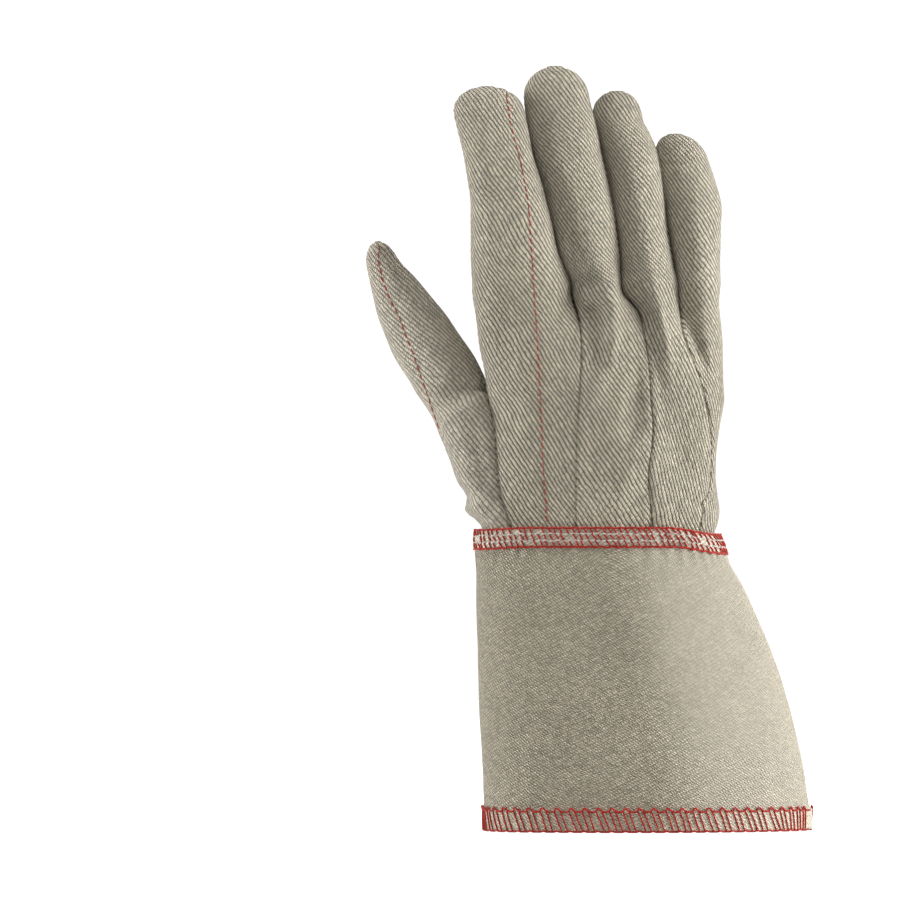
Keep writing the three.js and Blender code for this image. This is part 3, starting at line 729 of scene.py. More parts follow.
def palm_rise(name, left, right, z, above_fork):
    """The palm is one cloth, so its inner seams begin at the fork."""
    first = seam_dip(left) * (z < CROTCH) if name == "index" else (seam_dip(left) + roll(left)) * above_fork
    outer = seam_dip(right) + roll(right, height=0.7)
    return first + (outer if name == "little" else (seam_dip(right) + roll(right)) * above_fork)


def shape(side):
    """Adds the dips, rolls and unevenness to one side."""
    z = side.levels[:, None]
    first, last = side.across, side.across[:, -1:] - side.across
    left, right = (first, last) if side.on_back else (last, first)
    rise = UNEVEN * ripples(side.points) * smooth((z + 2) / 10)
    if side.digit is THUMB:
        rise = rise + thumb_rise(left, right, z)
    else:
        seams = back_rise if side.on_back else palm_rise
        rise = rise + seams(side.name, left, right, z, smooth((z - FORK + 6) / 8))
    at_seam = np.exp(-((np.minimum(left, right) / PUCKER["reach"]) ** 2))
    phase = 2 * math.pi * z / PUCKER["period"] + PUCKER["drift"] * ripples(side.points, 0.5)
    rise = rise + PUCKER["height"] * at_seam * np.sin(phase)
    over = smooth((side.levels - side.digit["tip"]) / TIP_SINK["height"] + 1)[:, None]
    rise = mix(rise, -TIP_SINK["depth"], over)
    line = quilting_at(side)
    if line is not None:
        away = np.abs(side.points[..., 0] - line[:, None])
        rise = rise + np.nan_to_num(seam_dip(away, depth=0.55, width=2.2))
    side.shaped = side.points + side.out * rise[..., None]


for side in SIDES:
    shape(side)
for side, out in zip(SIDES, outward([s.shaped for s in SIDES])):
    side.facing = lift_tips(side, out)

print("the cloth rises or sinks by up to", max(float(np.abs(s.shaped - s.points).max()) for s in SIDES))

# %% [markdown]
# ## Cloth coordinates
#
# The twill's ribs need to know how far a point is across and up its cloth, so each grid carries those two
# distances, in metres. Seen from outside, the first grows to the right. Below the fork it goes by the
# place along X. Above it, it follows each finger's own middle line, so the ribs lean with the finger. A
# slow drift stands for the cloth's stretch.

# %% Cloth coordinates
FOLLOW = {"index": 0.25, "middle": 1.0, "ring": 1.0, "little": 0.6, "thumb": 0.5}
LOW_GRAIN = {"bottom": 4, "top": 60, "fade": 46, "across": 0.3, "up": 0.38}  # of the ring and little backs
WRAP = {"width": 26, "bottom": 50}  # where the palm's ribs follow the index finger's outer edge
UP_THE_CLOTH = 0.6  # how far the second distance goes by the way up the cloth and not by the level
ONE_PALM = 30  # over this height below the fork the palm's stretches become one cloth


def cloth_coordinates(side):
    """How far right, as seen from outside, and how far up each point lies on its cloth."""
    middle = side.points.shape[1] // 2
    start = side.levels.searchsorted((CROTCH if side.digit is THUMB else FORK) - 1e-3)
    line = side.points[:, middle, 0]
    above = mix(line, line[start], FOLLOW[side.name])
    held = np.where(side.levels > side.levels[start], above, line)[:, None]
    arc = side.across - side.across[:, middle : middle + 1]
    way = 1 if side.on_back else -1
    s = way * held + arc
    up = side.up[:, middle] + side.levels[0]
    t = mix(side.levels, up, UP_THE_CLOTH)[:, None] + np.zeros_like(s)
    if not side.on_back and side.digit is not THUMB:
        # Below the fork the palm's four stretches are one cloth.
        s = mix(s, -side.points[..., 0], smooth((FORK - side.levels[:, None]) / ONE_PALM))
    if side.on_back and side.name in ("ring", "little"):
        # Low on these two pieces the grain stands nearly upright.
        steep = 1 - smooth((side.levels - LOW_GRAIN["top"]) / LOW_GRAIN["fade"])
        steep = steep * smooth((side.levels - LOW_GRAIN["bottom"]) / 14)
        s = s + LOW_GRAIN["across"] * steep[:, None] * arc
        t = t - LOW_GRAIN["up"] * np.cumsum(steep * np.gradient(side.levels))[:, None]
    return np.stack([s, t], -1)


for side in SIDES:
    side.cloth = cloth_coordinates(side)


def wrap_index():
    """The palm's cloth runs on round the index finger's outside, so both sides take the same values there."""
    back, palm = side_named("index", True), side_named("index", False)
    edge = back.cloth[:, 0, 0]
    shift = (edge + palm.points[:, -1, 0])[back.levels < FORK].mean()
    for name in FINGER_NAMES:
        side_named(name, False).cloth[..., 0] += shift
    from_edge = palm.across[:, -1:] - palm.across
    on_hand = 1 - smooth((palm.levels[:, None] - WRAP["bottom"]) / (FORK - WRAP["bottom"]))
    share = smooth(from_edge / WRAP["width"]) * on_hand
    palm.cloth[..., 0] = mix(edge[:, None] - from_edge, palm.cloth[..., 0], share)
    palm.cloth[..., 1] = back.cloth[:, ::-1, 1]


wrap_index()
for side in SIDES:
    drift = 1.6 * ripples(side.points, 1.5), 1.4 * ripples(side.points[..., ::-1], 1.8)
    side.cloth = (side.cloth + np.stack(drift, -1)) / 1000

print("the index finger's back starts at", side_named("index", True).cloth[0, 0].round(4), "of its cloth")

# %% [markdown]
# ## Meshes
#
# A piece is made from one or more grids. The cloth coordinates go to the mesh's layer "cloth". Where an
# edge ends at a seam, a strip turns it inwards, as sewn cloth does.

# %% Meshes
class Mesh:
    """Collects grids into one mesh whose face corners carry cloth coordinates."""

    def __init__(self):
        self.points, self.faces, self.cloth = [], [], []
        self.count = 0

    def add(self, points, cloth, flip=False):
        rows, columns = points.shape[:2]
        ids = self.count + np.arange(rows * columns).reshape(rows, columns)
        quads = np.stack([ids[:-1, :-1], ids[:-1, 1:], ids[1:, 1:], ids[1:, :-1]], -1).reshape(-1, 4)
        self.faces.append(quads[:, ::-1] if flip else quads)
        self.points.append(points.reshape(-1, 3))
        self.cloth.append(cloth.reshape(-1, 2))
        self.count += rows * columns
        return ids

    def make(self, name, material, weld=1e-6):
        points = np.concatenate(self.points) / 1000
        faces = np.concatenate(self.faces)
        cloth = np.concatenate(self.cloth)
        mesh = bpy.data.meshes.new(name)
        mesh.from_pydata(points.tolist(), [], faces.tolist())
        layer = mesh.uv_layers.new(name="cloth")
        layer.data.foreach_set("uv", cloth[faces.reshape(-1)].astype(np.float32).reshape(-1))
        thing = bpy.data.objects.new(name, mesh)
        bpy.context.scene.collection.objects.link(thing)
        mesh.materials.append(material)
        if weld:
            work = bmesh.new()
            work.from_mesh(mesh)
            bmesh.ops.remove_doubles(work, verts=work.verts, dist=weld)
            work.to_mesh(mesh)
            work.free()
        mesh.shade_smooth()
        return thing


def turn_in(mesh, side, column, rows, depth=2.2):
    """A strip that turns the cloth's edge inwards at a seam, so that nothing shows between two cloths."""
    edge = side.shaped[rows, column]
    inner = edge - side.facing[rows, column] * depth
    strip = np.stack([edge, inner], 1) if column else np.stack([inner, edge], 1)
    cloth = np.repeat(side.cloth[rows, column][:, None], 2, 1)
    mesh.add(strip, cloth)


print("a seam's edge is turned in by", turn_in.__defaults__[0])

# %% [markdown]
# ## Node helpers
#
# A few short words for adding nodes keep the materials readable. Effects that several materials share are
# node groups with named sockets.

# %% Node helpers
def node_group(name, inputs, outputs):
    group = bpy.data.node_groups.new(name, "ShaderNodeTree")
    for label, default in inputs.items():
        kind = "NodeSocketVector" if default is None else "NodeSocketFloat"
        socket = group.interface.new_socket(name=label, in_out="INPUT", socket_type=kind)
        if default is not None:
            socket.default_value = default
    for label in outputs:
        group.interface.new_socket(name=label, in_out="OUTPUT", socket_type="NodeSocketFloat")
    return Graph(group), group.nodes.new("NodeGroupInput").outputs, group.nodes.new("NodeGroupOutput").inputs


class Graph:
    """Short words for adding nodes to a tree."""

    def __init__(self, tree):
        self.tree = tree

    def node(self, kind, **settings):
        node = self.tree.nodes.new(kind)
        for key, value in settings.items():
            setattr(node, key, value)
        return node

    def put(self, value, socket):
        if isinstance(value, bpy.types.NodeSocket):
            self.tree.links.new(value, socket)
        else:
            socket.default_value = value

    def math(self, operation, a, b=0.0, c=0.0):
        node = self.node("ShaderNodeMath", operation=operation)
        for value, socket in zip((a, b, c), node.inputs):
            self.put(value, socket)
        return node.outputs[0]

    def times(self, a, b):
        return self.math("MULTIPLY", a, b)

    def plus(self, a, b):
        return self.math("ADD", a, b)

    def split(self, vector):
        node = self.node("ShaderNodeSeparateXYZ")
        self.put(vector, node.inputs[0])
        return node.outputs

    def group(self, tree, values):
        node = self.node("ShaderNodeGroup", node_tree=tree)
        for label, value in values.items():
            self.put(value, node.inputs[label])
        return node.outputs

    def noise(self, vector, scale, detail=2.0, roughness=0.5):
        node = self.node("ShaderNodeTexNoise")
        self.put(vector, node.inputs["Vector"])
        self.put(scale, node.inputs["Scale"])
        self.put(detail, node.inputs["Detail"])
        self.put(roughness, node.inputs["Roughness"])
        return node.outputs["Fac"]

    def mix_colour(self, share, a, b):
        node = self.node("ShaderNodeMix", data_type="RGBA")
        self.put(share, node.inputs["Factor"])
        self.put(a, node.inputs[6])
        self.put(b, node.inputs[7])
        return node.outputs[2]

    def range(self, value, low, high, to_low=0.0, to_high=1.0, **settings):
        node = self.node("ShaderNodeMapRange", **settings)
        for given, socket in zip((value, low, high, to_low, to_high), node.inputs):
            self.put(given, socket)
        return node.outputs["Result"]


def srgb(r, g, b):
    def linear(c):
        c /= 255
        return c / 12.92 if c <= 0.04045 else ((c + 0.055) / 1.055) ** 2.4

    return (linear(r), linear(g), linear(b), 1.0)


print("a mid grey in linear light:", round(srgb(128, 128, 128)[0], 3))

# %% [markdown]
# ## The twill group
#
# This group takes the cloth coordinates. It gives a height, how deep in a groove a point is, the yarn's
# own tone and where a thick slub of yarn lies. Ribs run across the cloth at an angle, and along each rib
# the floats of yarn make short steps, like a rope.

# %% The twill group
RIB_WANDER = {"scale": 90.0, "size": 0.7}
RIB_WOBBLE = {"scale": 480.0, "size": 0.5}
FLOAT_LAG = 0.62  # how much later the floats start on each rib than on the last
FLOAT_CHANCE = 0.55  # and by up to how much at random
FIBRES = {"scale": 1500.0, "in height": 0.5, "in grooves": 0.7}
SLUBS = (90.0, 900.0, 1.0)  # they are long across the cloth and thin up it


def noise_about_zero(g, vector, values):
    return g.times(g.math("SUBTRACT", g.noise(vector, values["scale"], 1.0), 0.5), values["size"])


def rib_places(g, given):
    """How many ribs across and how many floats along a point is, and the number of its rib."""
    s, t, _ = g.split(given["Cloth"])
    turn = g.math("RADIANS", given["Angle"])
    sine, cosine = g.math("SINE", turn), g.math("COSINE", turn)
    wander = noise_about_zero(g, given["Cloth"], RIB_WANDER)
    wobble = noise_about_zero(g, given["Cloth"], RIB_WOBBLE)
    across = g.math("SUBTRACT", g.times(t, cosine), g.times(s, sine))
    across = g.plus(g.math("DIVIDE", across, given["Pitch"]), g.plus(wander, wobble))
    number = g.math("FLOOR", across)
    own = g.node("ShaderNodeTexWhiteNoise", noise_dimensions="1D")
    g.put(number, own.inputs["W"])
    along = g.math("DIVIDE", g.plus(g.times(s, cosine), g.times(t, sine)), given["Float"])
    along = g.plus(along, g.times(across, FLOAT_LAG))
    along = g.plus(g.plus(along, g.times(own.outputs["Value"], FLOAT_CHANCE)), wobble)
    return across, along, number


def yarn_tone(g, number, along):
    """Each float of each rib has its own tone."""
    cell = g.node("ShaderNodeTexWhiteNoise", noise_dimensions="2D")
    combine = g.node("ShaderNodeCombineXYZ")
    g.put(number, combine.inputs[0])
    g.put(g.math("FLOOR", along), combine.inputs[1])
    g.put(combine.outputs[0], cell.inputs["Vector"])
    return cell.outputs["Value"]


def slubs(g, cloth):
    streak = g.node("ShaderNodeVectorMath", operation="MULTIPLY")
    g.put(cloth, streak.inputs[0])
    g.put(SLUBS, streak.inputs[1])
    return g.range(g.noise(streak.outputs[0], 1.0, 3.0, 0.6), 0.66, 0.74)


def twill_group():
    defaults = {"Cloth": None, "Angle": -57.0, "Pitch": 0.002, "Float": 0.0024, "Rope": 0.4}
    g, given, out = node_group("twill", defaults, ("Height", "Groove", "Tone", "Slub"))
    across, along, number = rib_places(g, given)
    rib = g.math("POWER", g.math("ABSOLUTE", g.math("SINE", g.times(across, math.pi))), 0.6)
    step = g.math("MULTIPLY_ADD", g.math("COSINE", g.times(along, 2 * math.pi)), 0.5, 0.5)
    cut = g.times(g.math("SUBTRACT", 1.0, step), given["Rope"])
    height = g.times(rib, g.math("SUBTRACT", 1.0, cut))
    fibre = g.noise(given["Cloth"], FIBRES["scale"], 2.0, 0.7)
    g.put(g.plus(height, g.times(fibre, FIBRES["in height"])), out["Height"])
    rough = g.math("MULTIPLY_ADD", g.math("SUBTRACT", fibre, 0.5), FIBRES["in grooves"], height)
    g.put(g.range(rough, 0.16, 0.74, 1.0, 0.0), out["Groove"])
    g.put(yarn_tone(g, number, along), out["Tone"])
    g.put(slubs(g, given["Cloth"]), out["Slub"])
    return g.tree


TWILL = twill_group()
print("twill:", [item.name for item in TWILL.interface.items_tree])

# %% [markdown]
# ## Unevenness and nap
#
# The uneven group varies the tone: soil, loose fibres and fading. The nap group is for the cuff. Its
# right part, which faces the strongest softbox, shows a flatter weave with less painted groove shade, its
# hem shows less painted groove shade, and it says how much of the weave is left at each place. The
# cuff's material paints its right part darker, its left part lighter and its hem paler: painted light.

# %% The uneven group, and the nap group with its painted light
SPOTS = {  # a noise's scale, detail and roughness, the stretch of it that is read and the tones that it gives
    "soil": (22.0, 3.0, 0.55, 0.3, 0.7, 0.93, 1.05),
    "fibres": (1500.0, 1.0, 0.5, 0.3, 0.7, 0.86, 1.1),
    "fading": (7.0, 1.0, 0.5, 0.35, 0.65, 0.96, 1.04),
}


def uneven_group():
    g, given, out = node_group("uneven", {"Place": None}, ("Tone",))
    tone = 1.0
    for scale, detail, roughness, low, high, dark, pale in SPOTS.values():
        noise = g.noise(given["Place"], scale, detail, roughness)
        tone = g.times(tone, g.range(noise, low, high, dark, pale))
    g.put(tone, out["Tone"])
    return g.tree


def nap_and_light_group():
    """How much of the weave and of its painted groove shade is left: all of it on the left, and the share
    Rest past a slanting line, where the strongest softbox falls.
    """
    defaults = {"Place": None, "Slant": 0.22, "From": 0.0, "To": 0.03, "Rest": 0.45, "Hem Top": 0.0}
    g, given, out = node_group("nap", defaults, ("Left", "On Hem"))
    x, _, z = g.split(given["Place"])
    line = g.plus(x, g.times(z, given["Slant"]))
    left = g.range(line, given["From"], given["To"], 1.0, given["Rest"], interpolation_type="SMOOTHSTEP")
    g.put(left, out["Left"])
    edge = 0.0005
    low, high = g.math("SUBTRACT", given["Hem Top"], edge), g.plus(given["Hem Top"], edge)
    g.put(g.range(z, low, high, 1.0, 0.0), out["On Hem"])
    return g.tree


UNEVEN_TONE, NAP_AND_LIGHT = uneven_group(), nap_and_light_group()
print("nap:", [item.name for item in NAP_AND_LIGHT.interface.items_tree])

# %% [markdown]
# ## Cloth and thread materials
#
# A cloth mixes a light yarn colour with a darker one, painted as shade in the grooves, and takes its bump
# from the weave. A thread is twisted: its dark side, painted shade of the twist, winds round it.

# %% Cloth and thread materials
YARN_TONES = (0.76, 1.12)
# Over the hem less groove shade is painted and its colour is painted paler, against the shade that its
# threads cast.
HEM = {"less weave": 0.2, "paler": 1.25}
SLUB = {"share": 0.35, "brighter": (1.2, 1.2, 1.24)}
# The twist's dark side is painted shade, where the thread's twist lies in shade.
TWIST = {"length": 0.0011, "dark": 0.35}  # the length of one turn, and how dark its dark side is
THREAD_FADE = {"scale": 260.0, "dark": 0.55}


def new_material(name, colour):
    material = bpy.data.materials.new(name)
    material.use_nodes = True
    material.node_tree.nodes.clear()
    material.diffuse_color = colour
    return material, Graph(material.node_tree)


def close_material(g, bump_values, shader_values):
    """The bump and the shader in which every material here ends."""
    bump = g.node("ShaderNodeBump")
    for label, value in bump_values.items():
        g.put(value, bump.inputs[label])
    shader = g.node("ShaderNodeBsdfPrincipled")
    g.put(bump.outputs[0], shader.inputs["Normal"])
    for label, value in shader_values.items():
        g.put(value, shader.inputs[label])
    g.put(shader.outputs[0], g.node("ShaderNodeOutputMaterial").inputs[0])


def cloth_material(name, light, dark, weave, depth, groove, nap=None):
    """Its last argument holds the nap group's values and two painted light tones: one for the cuff's smooth
    right part, which faces the strongest softbox, and one for the rest.
    """
    material, g = new_material(name, light)
    uv = g.node("ShaderNodeUVMap", uv_map="cloth").outputs[0]
    twill = g.group(TWILL, {"Cloth": uv, **weave})
    place = g.node("ShaderNodeTexCoord").outputs["Object"]
    # The dark colour mixed in by how deep in a groove a point is is painted shade in the weave's grooves.
    shade = g.times(twill["Groove"], groove)
    deep, painted_light_tone, crisp = depth, 1.0, 1.0
    if nap:
        found = g.group(NAP_AND_LIGHT, {"Place": place, **nap["values"]})
        left, on_hem = found["Left"], found["On Hem"]
        # Less groove shade is painted on the cuff's right, which faces the strongest softbox, and on its hem.
        shade = g.times(shade, g.math("SUBTRACT", left, g.times(on_hem, HEM["less weave"])))
        deep, crisp = g.times(left, depth), left
        # Painted light: the cuff's right is painted darker, its left lighter and its hem paler.
        painted_light_tone = g.range(left, nap["values"]["Rest"], 1.0, *nap["tones"])
        painted_light_tone = g.times(painted_light_tone, g.range(on_hem, 0.0, 1.0, 1.0, HEM["paler"]))
    tone = g.range(twill["Tone"], 0.0, 1.0, *YARN_TONES)
    tone = g.math("MULTIPLY_ADD", g.math("SUBTRACT", tone, 1.0), crisp, 1.0)
    tone = g.times(g.times(tone, g.group(UNEVEN_TONE, {"Place": place})["Tone"]), painted_light_tone)
    toned = g.node("ShaderNodeVectorMath", operation="SCALE")
    g.put(g.mix_colour(shade, light, dark), toned.inputs[0])
    g.put(tone, toned.inputs["Scale"])
    pale = (*(part * more for part, more in zip(light, SLUB["brighter"])), 1.0)
    colour = g.mix_colour(g.times(twill["Slub"], SLUB["share"]), toned.outputs[0], pale)
    close_material(
        g,
        {"Strength": 1.0, "Distance": deep, "Height": twill["Height"]},
        {"Base Color": colour, "Roughness": 0.94, "Specular IOR Level": 0.15, "Sheen Weight": 0.25,
         "Sheen Roughness": 0.5},
    )
    return material


def thread_material(name, colour, dark):
    material, g = new_material(name, colour)
    round_it, along, _ = g.split(g.node("ShaderNodeUVMap", uv_map="cloth").outputs[0])
    phase = g.plus(g.times(along, 2 * math.pi / TWIST["length"]), g.times(round_it, 2 * math.pi))
    twist = g.math("MULTIPLY_ADD", g.math("SINE", phase), 0.5, 0.5)
    fade = g.noise(g.node("ShaderNodeTexCoord").outputs["Object"], THREAD_FADE["scale"], 2.0, 0.6)
    shown = g.mix_colour(g.range(fade, 0.3, 0.7, 0.0, THREAD_FADE["dark"]), colour, dark)
    # The dark side of the twist is painted shade.
    shown = g.mix_colour(g.times(g.math("SUBTRACT", 1.0, twist), TWIST["dark"]), shown, dark)
    close_material(
        g,
        {"Strength": 0.6, "Distance": 0.00012, "Height": twist},
        {"Base Color": shown, "Roughness": 0.62, "Specular IOR Level": 0.3, "Sheen Weight": 0.3},
    )
    return material


print("the twill's yarn tones run from", YARN_TONES[0], "to", YARN_TONES[1])

# %% [markdown]
# ## The glove's materials
#
# The weave's pitch and float are in metres and its angle is in degrees from the cloth's width. The thumb
# shows its canvas a little coarser than the hand does. The cuff's duck is finer, and its ribs lean the
# other way.

# %% The glove's materials
HAND_WEAVE = {"Angle": -57.0, "Pitch": 0.0019, "Float": 0.0011, "Rope": 0.5}
THUMB_WEAVE = {"Angle": -50.0, "Pitch": 0.0021, "Float": 0.0011, "Rope": 0.5}
CUFF_WEAVE = {"Angle": 26.0, "Pitch": 0.0016, "Float": 0.0013, "Rope": 1.0}
BAND_WEAVE = {"Angle": 31.0, "Pitch": 0.0015, "Float": 0.0009, "Rope": 0.5}
# Painted light on the cuff: its right, which faces the strongest softbox, gets less groove shade and the
# first, darker tone, and its left the second, lighter one.
CUFF_NAP_AND_LIGHT = {
    "values": {"Slant": 0.22, "From": 0.0, "To": 0.03, "Rest": 0.45, "Hem Top": HEM_TOP / 1000},
    "tones": (0.82, 1.1),
}

# Each canvas's second colour is the painted shade in its grooves.
hand_canvas = cloth_material(
    "hand canvas", srgb(252, 243, 222), srgb(80, 63, 33), HAND_WEAVE, depth=0.001, groove=1.0,
)
# The thumb's canvas is painted a little paler than the hand's, with paler and weaker grooves: painted light
# on the thumb, which the softboxes reach less.
thumb_canvas = cloth_material(
    "thumb canvas", srgb(255, 247, 228), srgb(88, 70, 40), THUMB_WEAVE, depth=0.001, groove=0.8,
)
cuff_canvas = cloth_material(
    "cuff canvas", srgb(255, 247, 226), srgb(134, 118, 80), CUFF_WEAVE, depth=0.0012, groove=0.68,
    nap=CUFF_NAP_AND_LIGHT,
)
# The band's canvas is painted paler than the hand's and the cuff's, with paler grooves: painted light on its
# front, which the side softboxes hardly reach.
band_canvas = cloth_material(
    "band canvas", srgb(255, 248, 232), srgb(186, 170, 138), BAND_WEAVE, depth=0.0003, groove=0.95,
)
red_thread = thread_material("red thread", srgb(202, 34, 4), srgb(136, 18, 2))
white_thread = thread_material("white thread", srgb(240, 238, 232), srgb(196, 190, 180))
print("materials:", [material.name for material in bpy.data.materials])

# %% [markdown]
# ## The hand's cloths
#
# Each cloth replaces its plain solid and rides on the glove's one body. The palm's cloth takes in the
# index finger's back. Every edge at a seam is turned in: all of it on a back piece, and on the palm only
# where two edges meet.

# %% The hand's cloths
def finish_piece(thing, slot, *nodes):
    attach(thing, "root")
    if nodes:
        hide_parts(*nodes)
    return thing


def rows_between(side, low, high):
    return np.nonzero((side.levels >= low - 0.01) & (side.levels <= high + 0.01))[0]


def build_palm():
    mesh = Mesh()
    bottom, top = HAND_BOTTOM, 1000
    for name in FINGER_NAMES:
        side = side_named(name, False)
        mesh.add(side.shaped, side.cloth)
        # Palm columns run from the right to the left.
        turn_in(mesh, side, 0, rows_between(side, bottom if name == "little" else FORK, top))
        rows = rows_between(side, bottom, CROTCH) if name == "index" else rows_between(side, FORK, top)
        turn_in(mesh, side, -1, rows)
    side = side_named("index", True)
    mesh.add(side.shaped, side.cloth)
    turn_in(mesh, side, -1, rows_between(side, bottom, top))
    turn_in(mesh, side, 0, rows_between(side, bottom, CROTCH))
    return finish_piece(mesh.make("palm_cloth", hand_canvas), "hand_canvas", "palm")


def build_back(name):
    mesh = Mesh()
    side = side_named(name, True)
    mesh.add(side.shaped, side.cloth)
    for column in (0, -1):
        turn_in(mesh, side, column, np.arange(len(side.levels)))
    return finish_piece(mesh.make(f"back_{name}_cloth", hand_canvas), "hand_canvas", f"back_{name}")


def build_thumb():
    mesh = Mesh()
    for on_back in (True, False):
        side = side_named("thumb", on_back)
        mesh.add(side.shaped, side.cloth)
        turn_in(mesh, side, -1 if on_back else 0, np.arange(len(side.levels)))
    return finish_piece(mesh.make("thumb_cloth", thumb_canvas), "hand_canvas", "thumb")


hand_pieces = [build_palm()] + [build_back(name) for name in FINGER_NAMES[1:]] + [build_thumb()]
print({piece.name: len(piece.data.polygons) for piece in hand_pieces})

# %% [markdown]
# ## Points of the band and the cuff
#
# Both are walls round the wrist. At the thumb's side and the little finger's the band sinks a little,
# with the top of the cuff. Columns are spread evenly round the cuff.

# %% Points of the band and the cuff
CUFF_COLUMNS = 260


def cuff_point(angle, level, step=0.0, z=None):
    """Points of a section, pushed out by a step, and moved to another height where z is given."""
    s = CUFF(level)
    turn = np.radians(angle)
    c, n = np.cos(turn), np.sin(turn)
    square = np.where(c > 0, s["squareRight"], s["squareLeft"])
    bulge = np.where(n < 0, s["back"], s["palm"]) + step
    x = (s["right"] + s["left"]) / 2 + ((s["right"] - s["left"]) / 2 + step) * bent(c, square)
    y = s["mid"] + bulge * bent(n, square)
    return np.stack(np.broadcast_arrays(x, y, level if z is None else z), -1)


def droop(angle):
    """How far the band and the cuff's top sink at the two sides."""
    c = np.cos(np.radians(angle))
    return smooth((np.abs(c) - 0.5) / 0.5) * np.where(c > 0, BAND["droop right"], BAND["droop left"])


def even_angles(count, level=-60):
    """Angles that lie evenly round the cuff's section at a level."""
    fine = np.linspace(0, 360, 7201)
    way = way_along(cuff_point(fine, level))
    return np.interp(np.linspace(0, way[-1], count + 1), way, fine)


AROUND = even_angles(CUFF_COLUMNS)
print("columns round the cuff:", len(AROUND) - 1)

# %% [markdown]
# ## Cuff
#
# The cuff is one stiff cloth, nearly smooth, with its side seam on the little finger's side. Below the
# band it is gathered a little, and its hem stands out.

# %% Cuff
HEM_PROUD = 0.5
CUFF_ROWS = {"hem": 9, "above": 105}
CUFF_WAVES = ((0.9, 2.6), (0.25, 0.8))  # the height and the scale of the cuff's unevenness, slow and fast
GATHERS = {"count": 46, "height": 0.35, "reach": 9}
EDGE_ROUNDING = ((0, -0.35), (-1, 0.3))  # how far the middle of a wall's lowest and highest edge stands out
SIDE_SEAM = {"rise": 0.5, "rise width": 2.2, "sink": 0.7, "sink width": 0.7}  # the widths are in degrees


def cuff_surface():
    top = BAND["bottom"] + 0.4
    on_hem = np.linspace(CUFF_BOTTOM, HEM_TOP, CUFF_ROWS["hem"])[:-1]
    levels = np.concatenate([on_hem, np.linspace(HEM_TOP, top, CUFF_ROWS["above"])])
    a, level = np.meshgrid(AROUND, levels)
    z = level - droop(a) * smooth((level + 26) / 22)
    hem = HEM_PROUD * smooth((HEM_TOP + 0.4 - level) / 0.8)
    points = cuff_point(a, level, hem, z)
    out = outward([points])[0]
    rise = sum(height * ripples(points, scale) for height, scale in CUFF_WAVES)
    rise = rise * smooth((level - HEM_TOP) / 12) * smooth((top - level) / 8)
    gather = GATHERS["height"] * np.exp(-(((top - level) / GATHERS["reach"]) ** 2))
    rise = rise + gather * np.sin(np.radians(a) * GATHERS["count"] + 2 * ripples(points, 2.0))
    away = np.minimum(np.abs(a), np.abs(360 - a))
    rise = rise - seam_dip(away, SIDE_SEAM["rise"], SIDE_SEAM["rise width"])
    rise = rise + seam_dip(away, SIDE_SEAM["sink"], SIDE_SEAM["sink width"])
    points = points + out * rise[..., None]
    return points, outward([points])[0]


def sheet_coordinates(points):
    """Cloth coordinates in metres: the mean way round and the mean way up."""
    across = np.linalg.norm(np.diff(points, axis=1), axis=-1).mean(0)
    up = np.linalg.norm(np.diff(points, axis=0), axis=-1).mean(1)
    ways = [np.concatenate([[0], np.cumsum(steps)]) for steps in (across, up)]
    return np.stack(np.meshgrid(*ways), -1) / 1000


def wall(points, out, name, material, slot, node):
    """A closed wall: the outer grid, an inner one and rounded edges between them."""
    mesh = Mesh()
    cloth = sheet_coordinates(points)
    mesh.add(points, cloth)
    inner = points - out * STIFF_CLOTH
    mesh.add(inner, cloth, flip=True)
    for row, rounding in EDGE_ROUNDING:
        middle = points[row] - out[row] * STIFF_CLOTH / 2 + [0, 0, rounding]
        edge = np.stack([points[row], middle, inner[row]])
        mesh.add(edge, np.repeat(cloth[row][None], 3, 0), flip=row == 0)
    return finish_piece(mesh.make(name, material, 1e-5), slot, node)


cuff = wall(*cuff_surface(), "cuff_cloth", cuff_canvas, "cuff_canvas", "cuff")
print("cuff faces:", len(cuff.data.polygons))

# %% [markdown]
# ## Band
#
# The band is the overlapped edges of hand and cuff, slightly rounded and uneven.

# %% Band
BAND_PROUD = 0.15
BAND_BULGE = 0.35
BAND_ROWS = 13
BAND_WAVES = (0.16, 0.7)  # the height and the scale of its unevenness


def band_swell(share):
    """How far the band stands out at each height share: a little at its edges and more in its middle."""
    return BAND_PROUD + BAND_BULGE * np.sin(math.pi * np.clip(share, 0, 1))


def band_surface():
    a, share = np.meshgrid(AROUND, np.linspace(0, 1, BAND_ROWS))
    level = mix(BAND["bottom"], BAND["top"], share)
    points = cuff_point(a, level, band_swell(share), level - droop(a))
    height, scale = BAND_WAVES
    points = points + outward([points])[0] * (height * ripples(points, scale))[..., None]
    return points, outward([points])[0]


band = wall(*band_surface(), "band_cloth", band_canvas, "band_canvas", "wrist_band")
print("band faces:", len(band.data.polygons))

# %% [markdown]
# ## Threads
#
# Every stitch is a tube with blunt ends. All tubes of one kind are joined into one mesh.

# %% Tubes
TUBE_SIDES = 6
RADII = {"quilting": 0.25, "white": 0.28, "stitch": 0.36, "hem line": 0.46, "edge": 0.5}
BLUNT = 0.55  # the radius of a tube's ends, as a share of its own


